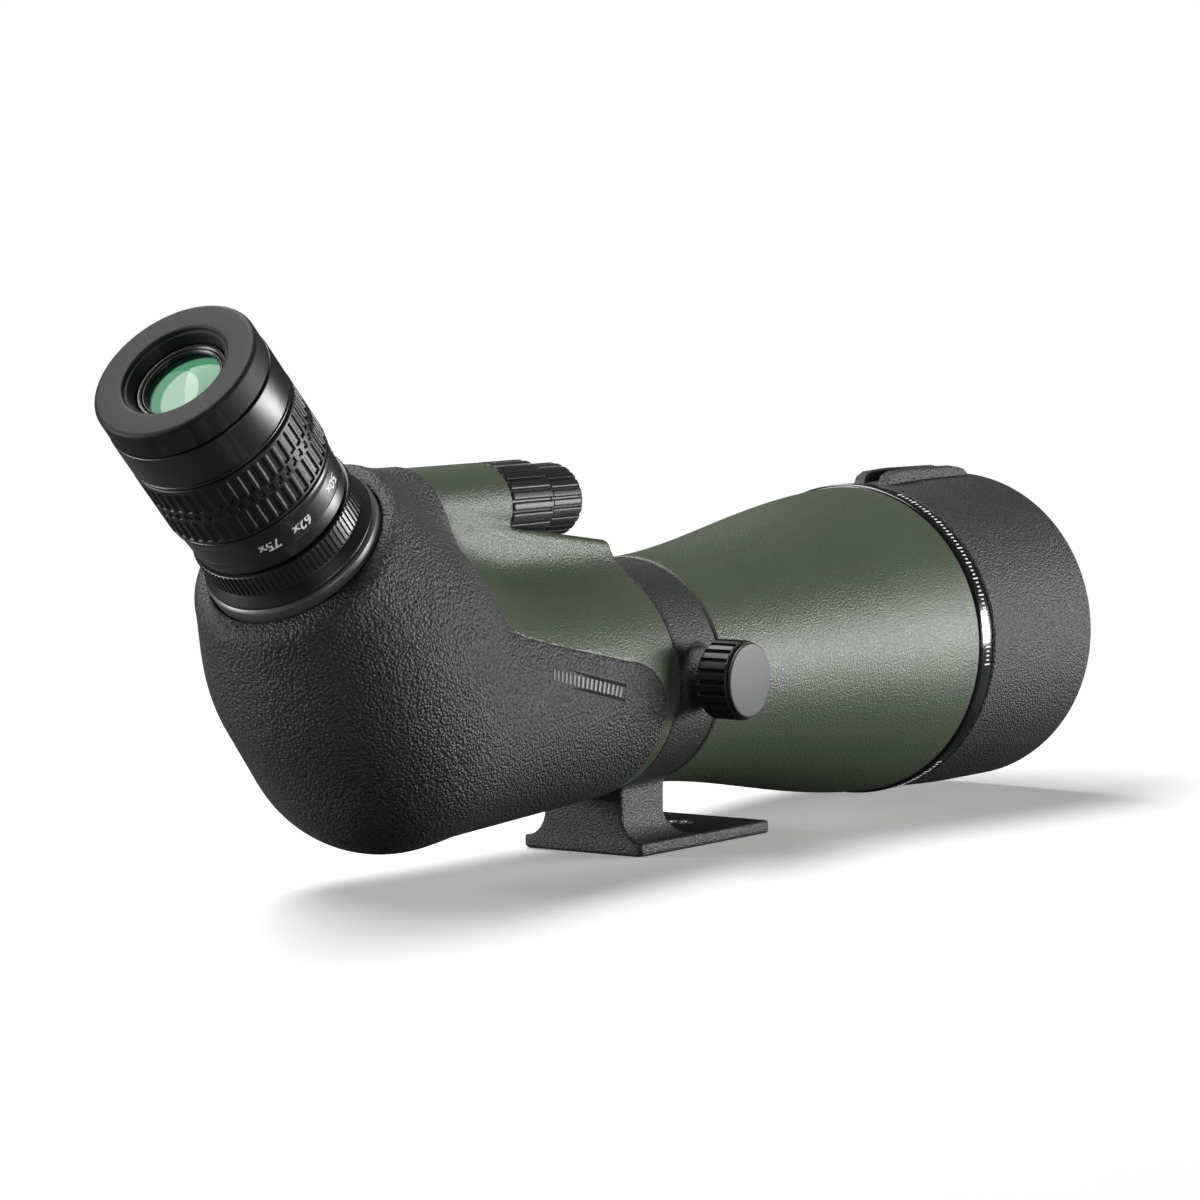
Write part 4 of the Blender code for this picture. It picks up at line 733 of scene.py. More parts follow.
def spray_group():
    """Sprayed or blasted texture: close fine grain and slow cloudy changes of tone, sized in metres."""
    group, new = shader_group(
        "sprayed_grain", [("Grain Size", "NodeSocketFloat", 0.0005)],
        [("Height", "NodeSocketFloat"), ("Clouds", "NodeSocketFloat")])
    if not new:
        return group
    ins, outs = node(group, "NodeGroupInput"), node(group, "NodeGroupOutput")
    place = node(group, "ShaderNodeTexCoord")
    scale = math_node(group, "DIVIDE", 1.0, ins.outputs["Grain Size"])
    grain = node(group, "ShaderNodeTexNoise", Detail=2.0, Roughness=0.55)
    clouds = node(group, "ShaderNodeTexNoise", Scale=38.0, Detail=4.0)
    for texture in (grain, clouds):
        group.links.new(place.outputs["Object"], texture.inputs["Vector"])
    group.links.new(scale, grain.inputs["Scale"])
    group.links.new(grain.outputs["Fac"], outs.inputs["Height"])
    group.links.new(clouds.outputs["Fac"], outs.inputs["Clouds"])
    return group


def handling_group():
    """Edges rubbed lighter and a thin dust on upward faces, laid over a finish's own colour."""
    group, new = shader_group(
        "handling_marks",
        [("Color", "NodeSocketColor", (0.1, 0.1, 0.1, 1.0)),
         ("Rubbed Color", "NodeSocketColor", (0.3, 0.3, 0.3, 1.0)),
         ("Rubbed", "NodeSocketFloat", 0.4), ("Dust", "NodeSocketFloat", 0.05)],
        [("Color", "NodeSocketColor")])
    if not new:
        return group
    ins, outs = node(group, "NodeGroupInput"), node(group, "NodeGroupOutput")
    surface = node(group, "ShaderNodeNewGeometry")
    place = node(group, "ShaderNodeTexCoord")
    patches = node(group, "ShaderNodeTexNoise", Scale=260.0, Detail=5.0)
    group.links.new(place.outputs["Object"], patches.inputs["Vector"])
    edges = mapped(group, surface.outputs["Pointiness"], From_Min=0.53, From_Max=0.62)
    rubbed = math_node(group, "MULTIPLY", edges, patches.outputs["Fac"])
    rubbed = math_node(group, "MULTIPLY", rubbed, ins.outputs["Rubbed"])
    worn = mix_colour(group, rubbed, ins.outputs["Color"], ins.outputs["Rubbed Color"])
    upward = node(group, "ShaderNodeSeparateXYZ")
    group.links.new(surface.outputs["Normal"], upward.inputs[0])
    facing = math_node(group, "MAXIMUM", upward.outputs["Z"], 0.0)
    dust = math_node(group, "MULTIPLY", facing, patches.outputs["Fac"])
    dust = math_node(group, "MULTIPLY", dust, ins.outputs["Dust"])
    dusty = mix_colour(group, dust, worn, (0.45, 0.44, 0.42, 1.0))
    group.links.new(dusty, outs.inputs["Color"])
    return group


# Finishes


def new_finish(name):
    """A material with a plain Principled shader, or the one made before, and whether it is new."""
    if name in bpy.data.materials:
        return bpy.data.materials[name], None
    finish = bpy.data.materials.new(name)
    finish.use_nodes = True
    return finish, finish.node_tree


def dress(name, colour, rubbed_colour, roughness, grain, *, pebble=False, bump=0.5, depth=0.0001,
          tone=0.25, rubbed=0.35, dust=0.04, metallic=0.0, coat=0.0, coat_roughness=0.1, specular=0.5,
          rough_change=0.12):
    """An opaque finish: grain for its bump and tone, clouds in its tone, rubbed edges and a little dust."""
    finish, tree = new_finish(name)
    if tree is None:
        return finish
    shader = tree.nodes["Principled BSDF"]
    fill_in(shader, Metallic=metallic, Coat_Weight=coat, Coat_Roughness=coat_roughness,
            Specular_IOR_Level=specular)
    spray = node(tree, "ShaderNodeGroup", node_tree=spray_group(), Grain_Size=grain)
    texture, mask = spray, spray.outputs["Height"]
    if pebble:
        texture = node(tree, "ShaderNodeGroup", node_tree=pebble_group(), Pebble_Size=grain)
        mask = texture.outputs["Tops"]
    low = (*(c * (1 - tone) for c in colour), 1.0)
    high = (*(min(c * (1 + tone), 1.0) for c in colour), 1.0)
    toned = mix_colour(tree, mask, low, high)
    clouded = mix_colour(tree, math_node(tree, "MULTIPLY", spray.outputs["Clouds"], 0.35), toned, low)
    marks = node(tree, "ShaderNodeGroup", node_tree=handling_group(), Rubbed_Color=(*rubbed_colour, 1.0),
                 Rubbed=rubbed, Dust=dust)
    tree.links.new(clouded, marks.inputs["Color"])
    tree.links.new(marks.outputs["Color"], shader.inputs["Base Color"])
    change = mapped(tree, mask, To_Min=roughness + rough_change / 2, To_Max=roughness - rough_change / 2)
    tree.links.new(change, shader.inputs["Roughness"])
    relief = node(tree, "ShaderNodeBump", Strength=bump, Distance=depth)
    tree.links.new(texture.outputs["Height"], relief.inputs["Height"])
    tree.links.new(relief.outputs["Normal"], shader.inputs["Normal"])
    return finish


def settings():
    return bpy.context.scene.scope_finish


def green_paint():
    return dress("green_textured_paint", settings().green_colour, (0.34, 0.36, 0.30), 0.38, 0.00060, bump=0.9,
                 depth=0.00032, tone=0.40, rubbed=0.18, specular=0.55)


def rubber_armour():
    return dress("pebbled_rubber_armour", settings().armour_colour, (0.12, 0.12, 0.12), 0.46, 0.00080,
                 pebble=True, bump=1.0, depth=0.00062, tone=0.50, rubbed=0.3, specular=0.55)


def hood_rubber():
    return dress("fine_pebbled_hood_rubber", settings().armour_colour, (0.12, 0.12, 0.12), 0.48, 0.00065,
                 pebble=True, bump=1.0, depth=0.00042, tone=0.35, rubbed=0.3, specular=0.55)


def crinkle_black():
    return dress("crinkle_black_paint", settings().crinkle_colour, (0.16, 0.16, 0.16), 0.46, 0.00052,
                 pebble=True, bump=0.9, depth=0.00030, tone=0.35, rubbed=0.45, specular=0.55)


def satin_black():
    return dress("satin_black_anodising", settings().satin_colour, (0.10, 0.10, 0.10), 0.34, 0.00025,
                 bump=0.10, depth=0.00005, tone=0.12, rubbed=0.35, specular=0.6, rough_change=0.06)


def gloss_black():
    return dress("gloss_black_lacquer", (0.010, 0.010, 0.011), (0.05, 0.05, 0.05), 0.16, 0.0004, bump=0.05,
                 depth=0.00003, tone=0.1, rubbed=0.2, coat=0.6, coat_roughness=0.06, rough_change=0.05)


def black_rubber():
    return dress("fine_black_rubber", settings().rubber_colour, (0.09, 0.09, 0.09), 0.56, 0.00030, bump=0.30,
                 depth=0.00008, tone=0.15, rubbed=0.35, specular=0.28)


def knob_rubber():
    return dress("ribbed_knob_rubber", (0.011, 0.011, 0.011), (0.08, 0.08, 0.08), 0.42, 0.00028, bump=0.25,
                 depth=0.00007, tone=0.15, rubbed=0.4, specular=0.4)


def grey_anodising():
    return dress("light_grey_anodising", settings().grey_colour, (0.55, 0.55, 0.55), 0.38, 0.00022, bump=0.15,
                 depth=0.00004, tone=0.10, rubbed=0.3, metallic=0.55)


def cap_grey():
    return dress("brushed_grey_cap", (0.034, 0.034, 0.034), (0.4, 0.4, 0.4), 0.46, 0.00022, bump=0.12,
                 depth=0.00004, tone=0.10, rubbed=0.3, metallic=0.15, specular=0.35)


def turned_steel():
    return dress("turned_steel", (0.50, 0.50, 0.49), (0.7, 0.7, 0.7), 0.28, 0.00035, bump=0.12, depth=0.00003,
                 tone=0.08, metallic=1.0)


def machined_brass():
    return dress("machined_brass", (0.66, 0.47, 0.20), (0.8, 0.6, 0.3), 0.30, 0.00035, bump=0.12,
                 depth=0.00003, tone=0.1, metallic=1.0)


def flocked_black():
    return dress("flocked_matt_black", (0.009, 0.009, 0.009), (0.03, 0.03, 0.03), 0.85, 0.0003, bump=0.4,
                 depth=0.0001, tone=0.2, dust=0.0, specular=0.2)


def white_print():
    return dress("white_print", settings().print_colour, (0.9, 0.9, 0.9), 0.5, 0.0003, bump=0.1,
                 depth=0.00002, tone=0.04, dust=0.0, rubbed=0.1)


def optical_glass():
    """Clear glass with a faint green coating that shows towards the rim."""
    finish, tree = new_finish("coated_optical_glass")
    if tree is None:
        return finish
    shader = tree.nodes["Principled BSDF"]
    fill_in(shader, Transmission_Weight=1.0, IOR=1.52, Metallic=0.0, Coat_Weight=0.5, Coat_Roughness=0.02,
            Coat_Tint=(0.35, 0.9, 0.55, 1.0))
    spray = node(tree, "ShaderNodeGroup", node_tree=spray_group(), Grain_Size=0.004)
    tint = mix_colour(tree, spray.outputs["Clouds"], (0.86, 0.97, 0.90, 1.0), (0.90, 0.99, 0.93, 1.0))
    tree.links.new(tint, shader.inputs["Base Color"])
    smooth = mapped(tree, spray.outputs["Clouds"], To_Min=0.0, To_Max=0.03)
    tree.links.new(smooth, shader.inputs["Roughness"])
    return finish


def painted_sheen_group():
    """Painted reflection on a lens: two rounded patches of painted window light that overlap, and painted
    shade outside a wider patch, laid round a centre in metres.
    """
    group, new = shader_group(
        "painted_lens_sheen",
        [("Centre", "NodeSocketVector", (0.0, 0.0, 0.0)), ("Across", "NodeSocketVector", (0.0, 0.0, 0.0)),
         ("Along", "NodeSocketVector", (0.0, 0.0, 0.0)), ("Size", "NodeSocketFloat", 0.011)],
        [("Light", "NodeSocketFloat"), ("Dark", "NodeSocketFloat")])
    if not new:
        return group
    ins, outs = node(group, "NodeGroupInput"), node(group, "NodeGroupOutput")
    place = node(group, "ShaderNodeTexCoord")
    from_centre = node(group, "ShaderNodeVectorMath", operation="SUBTRACT")
    group.links.new(place.outputs["Object"], from_centre.inputs[0])
    group.links.new(ins.outputs["Centre"], from_centre.inputs[1])
    ways = []
    for direction in ("Across", "Along"):
        along = node(group, "ShaderNodeVectorMath", operation="DOT_PRODUCT")
        group.links.new(from_centre.outputs[0], along.inputs[0])
        group.links.new(ins.outputs[direction], along.inputs[1])
        ways.append(math_node(group, "DIVIDE", along.outputs["Value"], ins.outputs["Size"]))

    def patch(u, v, radius, soft):
        offsets = [math_node(group, "SUBTRACT", way, at) for way, at in zip(ways, (u, v))]
        squares = [math_node(group, "MULTIPLY", offset, offset) for offset in offsets]
        away = math_node(group, "SQRT", math_node(group, "ADD", *squares))
        return mapped(group, away, interpolation_type="SMOOTHSTEP", From_Min=radius, From_Max=radius + soft,
                      To_Min=1.0, To_Max=0.0)

    # Painted highlights: the two window patches and their brighter overlap.
    wide, narrow = patch(0.55, -0.30, 0.95, 0.05), patch(-0.25, -0.45, 0.85, 0.05)
    both = math_node(group, "MULTIPLY", wide, narrow)
    some = math_node(group, "MULTIPLY", math_node(group, "ADD", wide, narrow), 0.18)
    light = math_node(group, "ADD", math_node(group, "MULTIPLY", both, 0.55), some)
    group.links.new(light, outs.inputs["Light"])
    # Painted shade outside the wider patch.
    dark = math_node(group, "SUBTRACT", 1.0, patch(0.32, -0.18, 1.08, 0.10))
    group.links.new(dark, outs.inputs["Dark"])
    return group


def eye_glass_with_painted_glow():
    """The eye lens: a painted green reflection of a bright room, made as a glow from its emission, so it
    shines alike from every side and without light.
    """
    finish, tree = new_finish("eye_glass_painted_green_glow")
    if tree is None:
        return finish
    shader = tree.nodes["Principled BSDF"]
    # Emission makes the lens glow though it is no lamp: its colour is a painted reflection.
    fill_in(shader, Metallic=0.0, Specular_IOR_Level=0.1, Coat_Weight=0.06, Coat_Roughness=0.01,
            Emission_Strength=0.85)
    high = reach_of("eye_lens", EYE_ORIGIN, EYE_DIRECTION)[1]
    painted_sheen = node(tree, "ShaderNodeGroup", node_tree=painted_sheen_group(), Across=tuple(RIGHT),
                 Along=tuple(EYE_ACROSS), Centre=tuple(settled(EYE_ORIGIN + high * EYE_DIRECTION)))
    # Painted highlight where the window patches lie, and painted shade outside them.
    lit = mix_colour(tree, painted_sheen.outputs["Light"], (*settings().painted_glow_colour, 1.0), (0.50, 0.70, 0.56, 1.0))
    shaded = mix_colour(tree, painted_sheen.outputs["Dark"], lit, (0.004, 0.012, 0.008, 1.0))
    tree.links.new(shaded, shader.inputs["Emission Color"])
    dim = mix_colour(tree, 0.9, shaded, (0.0, 0.0, 0.0, 1.0))
    tree.links.new(dim, shader.inputs["Base Color"])
    spray = node(tree, "ShaderNodeGroup", node_tree=spray_group(), Grain_Size=0.003)
    smooth = mapped(tree, spray.outputs["Clouds"], To_Min=0.02, To_Max=0.06)
    tree.links.new(smooth, shader.inputs["Roughness"])
    return finish


# Operators, one for each piece or group of like pieces


class SCOPE_OT_rear_body(bpy.types.Operator):
    """Builds the green prism housing and the rubber armour over its heel and port"""

    bl_idname = "scope.build_rear_body"
    bl_label = "Rear Body"

    def execute(self, context):
        step = context.scene.scope_detail.skin_step / MM * 1.0
        ahead_of_edge = edge_map()
        points, faces = skin_of(housing_field(ahead_of_edge), *HOUSING_BOX, step)
        add_piece("prism_housing_casting", points, faces, green_paint(), "scope", ["rear_housing"],
                  "green_paint", 50)
        points, faces = skin_of(armour_field(ahead_of_edge), *ARMOUR_BOX, step)
        add_piece("moulded_armour", points, faces, rubber_armour(), "scope", ["rubber_armour"],
                  "rubber_armour", 50)
        return {"FINISHED"}


class SCOPE_OT_badge(bpy.types.Operator):
    """Builds the slanted badge plate on the armour, with a plain bar pattern"""

    bl_idname = "scope.build_badge"
    bl_label = "Badge"

    def execute(self, context):
        slope = math.radians(-12.6)
        half_length, half_height = 21.5, 3.0

        def plate(along, up, length, height, low, high, lean=0.0):
            points, faces = bar_mesh(length, height, lean, max(2, math.ceil(length)))
            points = np.array(points)
            across, above = points[:, 0] + along, points[:, 1] + up
            y = BADGE_CENTRE[0] + across * math.cos(slope) - above * math.sin(slope)
            z = BADGE_CENTRE[1] + across * math.sin(slope) + above * math.cos(slope)
            x = side_reach(y, z) + ARMOUR_PROUD + np.where(points[:, 2] > 0, high, low)
            return np.stack([x, y, z], axis=1), faces

        panel = plate(0, 0, 2 * half_length, 2 * half_height, -0.6, 0.08)
        add_piece("badge_panel", *panel, flocked_black(), "scope", ["badge_plate"], "gloss_black")
        edges = [plate(0, side * (half_height - 0.15), 2 * half_length, 0.3, -0.3, 0.24) for side in (-1, 1)]
        edges += [plate(side * (half_length - 0.15), 0, 0.3, 2 * half_height, -0.3, 0.24) for side in (-1, 1)]
        add_piece("badge_frame", *joined(edges), black_rubber(), "scope", slot="gloss_black")
        bars = [plate(at, 0, 1.0, 3.2, 0.0, 0.2, 0.5) for at in np.arange(-18.4, 18.5, 2.3)]
        add_piece("badge_bars", *joined(bars), cap_grey(), "scope", slot="grey_anodised")
        return {"FINISHED"}


def side_reach(y, z):
    """How far out to the right the body's skin lies at each (y, z)."""
    near, far = np.full(len(y), 5.0), np.full(len(y), 60.0)
    for _ in range(24):
        middle = (near + far) / 2
        inside = whole_field(middle, y, z) < 0
        near, far = np.where(inside, middle, near), np.where(inside, far, middle)
    return far


class SCOPE_OT_barrel(bpy.types.Operator):
    """Builds the flared green barrel with its journal and spigot"""

    bl_idname = "scope.build_barrel"
    bl_label = "Barrel"

    def execute(self, context):
        outer = [(self.radius(y), y) for y in np.linspace(BARREL_REAR + 0.6, BARREL_FRONT - 0.3, 70)]
        mouth = reach_of("objective_cell", np.zeros(3), AHEAD)[0] - GAP
        inner = [(min(self.radius(y) - BARREL_WALL, BARREL_MOUTH), y)
                 for y in np.linspace(mouth, BARREL_REAR + 6, 30)]
        journal_rear = BODY_FRONT + GAP
        loop = [(SPIGOT_BORE, SPIGOT_REAR), (SPIGOT_RADIUS, SPIGOT_REAR), (SPIGOT_RADIUS, journal_rear),
                (JOURNAL_RADIUS, journal_rear), (JOURNAL_RADIUS, BARREL_REAR),
                (self.radius(BARREL_REAR) - 0.7, BARREL_REAR)]
        loop += outer
        loop += [(self.radius(BARREL_FRONT) - 0.5, BARREL_FRONT), (BARREL_MOUTH, BARREL_FRONT),
                 (BARREL_MOUTH, mouth)]
        loop += inner[1:] + [(SPIGOT_BORE, BARREL_REAR + 3)]
        turned_piece("flared_barrel", softened(loop, 0.3), MAIN_AXIS, green_paint(), "scope",
                     ["front_barrel"], "green_paint")
        return {"FINISHED"}

    @staticmethod
    def radius(y):
        share = min(max((y - BARREL_FLARE_START) / (BARREL_FLARE_END - BARREL_FLARE_START), 0.0), 1.0)
        return BODY_RADIUS - 0.4 + BARREL_FLARE * (1 - math.cos(math.pi * share)) / 2


class SCOPE_OT_objective(bpy.types.Operator):
    """Builds the front ring with its marks, the objective cell with its baffle grooves, and the front lens
    with its retainer
    """

    bl_idname = "scope.build_objective"
    bl_label = "Objective"

    def execute(self, context):
        rear, front, radius = reach_of("name_ring", np.zeros(3), AHEAD)
        loop = [(FRONT_RING_BORE, rear), (radius - 0.5, rear), (radius, rear + 0.5), (radius, front - 0.5),
                (radius - 0.5, front), (FRONT_RING_BORE, front)]
        turned_piece("front_ring", softened(loop, 0.3), MAIN_AXIS, gloss_black(), "scope", ["name_ring"],
                     "gloss_black")
        middle = (rear + front) / 2 + 0.2
        marks = []
        for start, count in ((20, 49), (140, 17)):
            for i in range(count):
                bar = bar_mesh(0.45, 3.0 if i % 4 == 0 else 1.6)
                turn = math.radians(start + i * 1.6)
                marks.append(wrapped_mesh(*bar, MAIN_AXIS, turn, middle, radius + 0.01, 0.03))
        add_piece("front_ring_marks", *joined(marks), white_print(), "scope", slot="grey_anodised")
        self.build_cell()
        self.build_lenses()
        return {"FINISHED"}

    def build_cell(self):
        rear, front, _ = reach_of("objective_cell", np.zeros(3), AHEAD)
        shoulder = reach_of("name_ring", np.zeros(3), AHEAD)[0]
        _, retainer_front, _ = reach_of("objective_retainer", np.zeros(3), AHEAD)
        grooves = []
        for y in np.arange(front - 1.6, retainer_front + 0.8, -1.1):
            grooves += [(BAFFLE_BORE, y + 0.45), (BAFFLE_BORE + 0.7, y + 0.1), (BAFFLE_BORE, y - 0.25)]
        felt_rear, felt_front, _ = reach_of("hood_felt", np.zeros(3), AHEAD)
        step = shoulder + 16.4
        loop = [(CELL_BORE, rear), (CELL_SPIGOT_RADIUS, rear), (CELL_SPIGOT_RADIUS, shoulder),
                (CELL_RADIUS, shoulder), (CELL_RADIUS, felt_rear - GAP), (FELT_SEAT_RADIUS, felt_rear - GAP),
                (FELT_SEAT_RADIUS, felt_front + GAP), (CELL_RADIUS, felt_front + GAP), (CELL_RADIUS, front),
                (BAFFLE_BORE, front), *grooves, (BAFFLE_BORE, step), (CELL_BORE, step)]
        turned_piece("objective_cell_body", softened(loop, 0.25, 2), MAIN_AXIS, flocked_black(), "scope",
                     ["objective_cell"], "satin_black", 128)

    def build_lenses(self):
        low, high, radius = reach_of("front_objective_element", np.zeros(3), AHEAD)
        steps = np.linspace(0, 1, 25)
        face = [(radius * t, high - LENS_BULGE * t * t) for t in steps]
        back = [(radius * t, low + LENS_BULGE * t * t) for t in steps]
        turned_piece("front_lens", back + face[::-1], MAIN_AXIS, optical_glass(), "scope",
                     ["front_objective_element"], "glass", 160)
        low, high, radius = reach_of("objective_retainer", np.zeros(3), AHEAD)
        loop = [(RETAINER_BORE, low), (radius, low), (radius, high), (RETAINER_BORE + 0.4, high),
                (RETAINER_BORE, high - 0.4)]
        turned_piece("lens_retainer", softened(loop, 0.15, 2), MAIN_AXIS, satin_black(), "scope",
                     ["objective_retainer"], "satin_black")


class SCOPE_OT_hood(bpy.types.Operator):
    """Builds the sliding hood: its rubber skin with the two-ridge sight, and its plain inner tube"""

    bl_idname = "scope.build_hood"
    bl_label = "Hood"

    def execute(self, context):
        rear, front, _ = reach_of("hood_armour", np.zeros(3), AHEAD)
        widens = HOOD_FRONT_RADIUS - HOOD_REAR_RADIUS
        loop = [(HOOD_BORE, rear), (HOOD_BORE + 0.6, rear), (HOOD_REAR_RADIUS, rear + 0.7)]
        loop += [(HOOD_REAR_RADIUS + widens * eased(t), rear + 0.7 + (front - rear) * 0.55 * t)
                 for t in np.linspace(0.02, 1, 18)]
        loop += [(HOOD_FRONT_RADIUS, front - 1.8), (HOOD_FRONT_RADIUS - 0.25, front - 0.7),
                 (HOOD_FRONT_RADIUS - 0.9, front - 0.1), (HOOD_FRONT_RADIUS - 1.4, front),
                 (HOOD_TUBE_BORE + 0.4, front), (HOOD_TUBE_BORE + 0.05, front - 0.3),
                 (HOOD_TUBE_BORE, front - 1.4), (HOOD_BORE, front - 1.4)]
        near = np.arange(-9.5, 9.51, 0.27)
        far = np.linspace(9.5, 350.5, 172)[1:-1]
        angles = np.radians(np.concatenate([near, far]))
        turned_piece("hood_skin", divided(softened(loop, 0.2, 2), 0.8), MAIN_AXIS, hood_rubber(), "hood",
                     ["hood_armour"], "rubber_armour", None, self.sight(rear), angles, 55)
        rear, front, radius = reach_of("hood_tube", np.zeros(3), AHEAD)
        loop = [(HOOD_TUBE_BORE, rear), (radius, rear), (radius, front), (HOOD_TUBE_BORE, front)]
        turned_piece("hood_inner_tube", softened(divided(loop, 2.0), 0.2), MAIN_AXIS, flocked_black(), "hood",
                     ["hood_tube"], "satin_black", 128)
        return {"FINISHED"}

    @staticmethod
    def sight(rear):
        """Two ridges on a low plinth, raised from the hood's top."""
        start, end = rear + 5.0, rear + 59.0
        stations = [start - 0.4, start + 1.6, start + 6.0, start + 20.0, end - 9.0, end - 4.0, end - 1.6,
                    end + 0.4]

        def relief(turn, radius, height):
            across = radius * np.sin(turn)
            top = np.interp(height, stations, [50.6, 53.7, 55.1, 55.6, 55.3, 54.4, 53.0, 50.6])
            ridge = eased(np.clip((2.3 - np.abs(np.abs(across) - 4.5)) / 0.6, 0, 1))
            ends = np.clip(np.minimum(height - start, end - height) / 3, 0, 1)
            plinth = np.clip((7.9 - np.abs(across)) / 1.6, 0, 1) * ends
            base = radius + 0.35 * eased(plinth)
            raised = np.where(np.cos(turn) > 0.9, np.maximum(base, base + ridge * (top - base)), radius)
            return np.where(radius > 50.3, radius - raised, 0.0)

        return relief


class SCOPE_OT_collar(bpy.types.Operator):
    """Builds the tripod collar with its lock boss, flared neck and foot"""

    bl_idname = "scope.build_collar"
    bl_label = "Tripod Collar"

    def execute(self, context):
        step = context.scene.scope_detail.skin_step / MM * 0.85
        points, faces = skin_of(collar_field, *COLLAR_BOX, step)
        add_piece("tripod_collar_casting", points, faces, crinkle_black(), "collar", ["tripod_collar"],
                  "crinkle_black", 50)
        return {"FINISHED"}


class SCOPE_OT_lock_knob(bpy.types.Operator):
    """Builds the ribbed lock knob and its domed grey cap"""

    bl_idname = "scope.build_lock_knob"
    bl_label = "Lock Knob"

    def execute(self, context):
        detail = context.scene.scope_detail
        low, high, radius = reach_of("lock_knob", LOCK_POINT, RIGHT)
        _, screw_end, _ = reach_of("lock_screw", LOCK_POINT, RIGHT)
        loop = [(3.3, low), (radius - 1.6, low), (radius, low + 1.6), (radius, high - 1.0),
                (radius - 0.5, high), (0.0, high), (0.0, screw_end + GAP), (3.3, screw_end + GAP)]
        relief = ribs(detail.lock_ribs, detail.rib_depth / MM, low + 0.8, high - 0.7, radius, 0.62)
        turned_piece("ribbed_lock_knob", divided(softened(loop, 0.7, 4), 0.5), LOCK_AXIS, knob_rubber(),
                     "lock_knob", ["lock_knob"], "black_rubber", detail.lock_ribs * 12, relief)
        low, high, radius = reach_of("lock_knob_cap", LOCK_POINT, RIGHT)
        dome = [((radius - 0.5) * (1 - t), high - 0.25 * (1 - t) ** 2) for t in np.linspace(0, 1, 12)]
        loop = [(0.0, low), (radius, low), (radius, high - 0.6), (radius - 0.15, high - 0.35)] + dome
        turned_piece("lock_knob_cap_disc", softened(loop, 0.15, 2), LOCK_AXIS, cap_grey(), "lock_knob",
                     ["lock_knob_cap"], "grey_anodised", 128)
        return {"FINISHED"}


class SCOPE_OT_focus_knobs(bpy.types.Operator):
    """Builds the coarse and fine focus knobs and the fine knob's cap"""

    bl_idname = "scope.build_focus_knobs"
    bl_label = "Focus Knobs"

    def execute(self, context):
        detail = context.scene.scope_detail
        count, depth = detail.knob_ribs, detail.rib_depth / MM
        low, high, radius = reach_of("coarse_knob", FOCUS_POINT, AHEAD)
        loop = [(3.3, low), (radius - 1.0, low), (radius, low + 0.7), (radius, high - 1.3),
                (radius - 1.0, high - 1.1), (radius - 1.1, high), (3.3, high)]
        relief = ribs(count, depth, low - 0.4, high - 0.9, radius, 0.70, 0.5)
        turned_piece("coarse_focus_knob", divided(softened(loop, 0.35, 3), 0.5), FOCUS_AXIS, knob_rubber(),
                     "coarse_focus", ["coarse_knob"], "black_rubber", count * 12, relief)
        low, high, radius = reach_of("fine_knob", FOCUS_POINT, AHEAD)
        _, shaft_end, _ = reach_of("fine_shaft", FOCUS_POINT, AHEAD)
        loop = [(1.8, low), (radius - 1.0, low), (radius, low + 0.5), (radius, high - 2.2),
                (radius - 2.2, high), (0.0, high), (0.0, shaft_end + GAP), (1.8, shaft_end + GAP)]
        relief = ribs(count, depth * 0.9, low - 0.4, high - 1.0, radius, 0.70, 0.9)
        turned_piece("fine_focus_knob", divided(softened(loop, 1.2, 5), 0.5), FOCUS_AXIS, knob_rubber(),
                     "fine_focus", ["fine_knob"], "black_rubber", count * 12, relief)
        low, high, radius = reach_of("fine_knob_cap", FOCUS_POINT, AHEAD)
        loop = [(0.0, low), (radius, low), (radius - 0.8, high), (0.0, high)]
        turned_piece("fine_focus_cap", softened(loop, 0.4, 4), FOCUS_AXIS, satin_black(), "fine_focus",
                     ["fine_knob_cap"], "satin_black", 96)
        return {"FINISHED"}


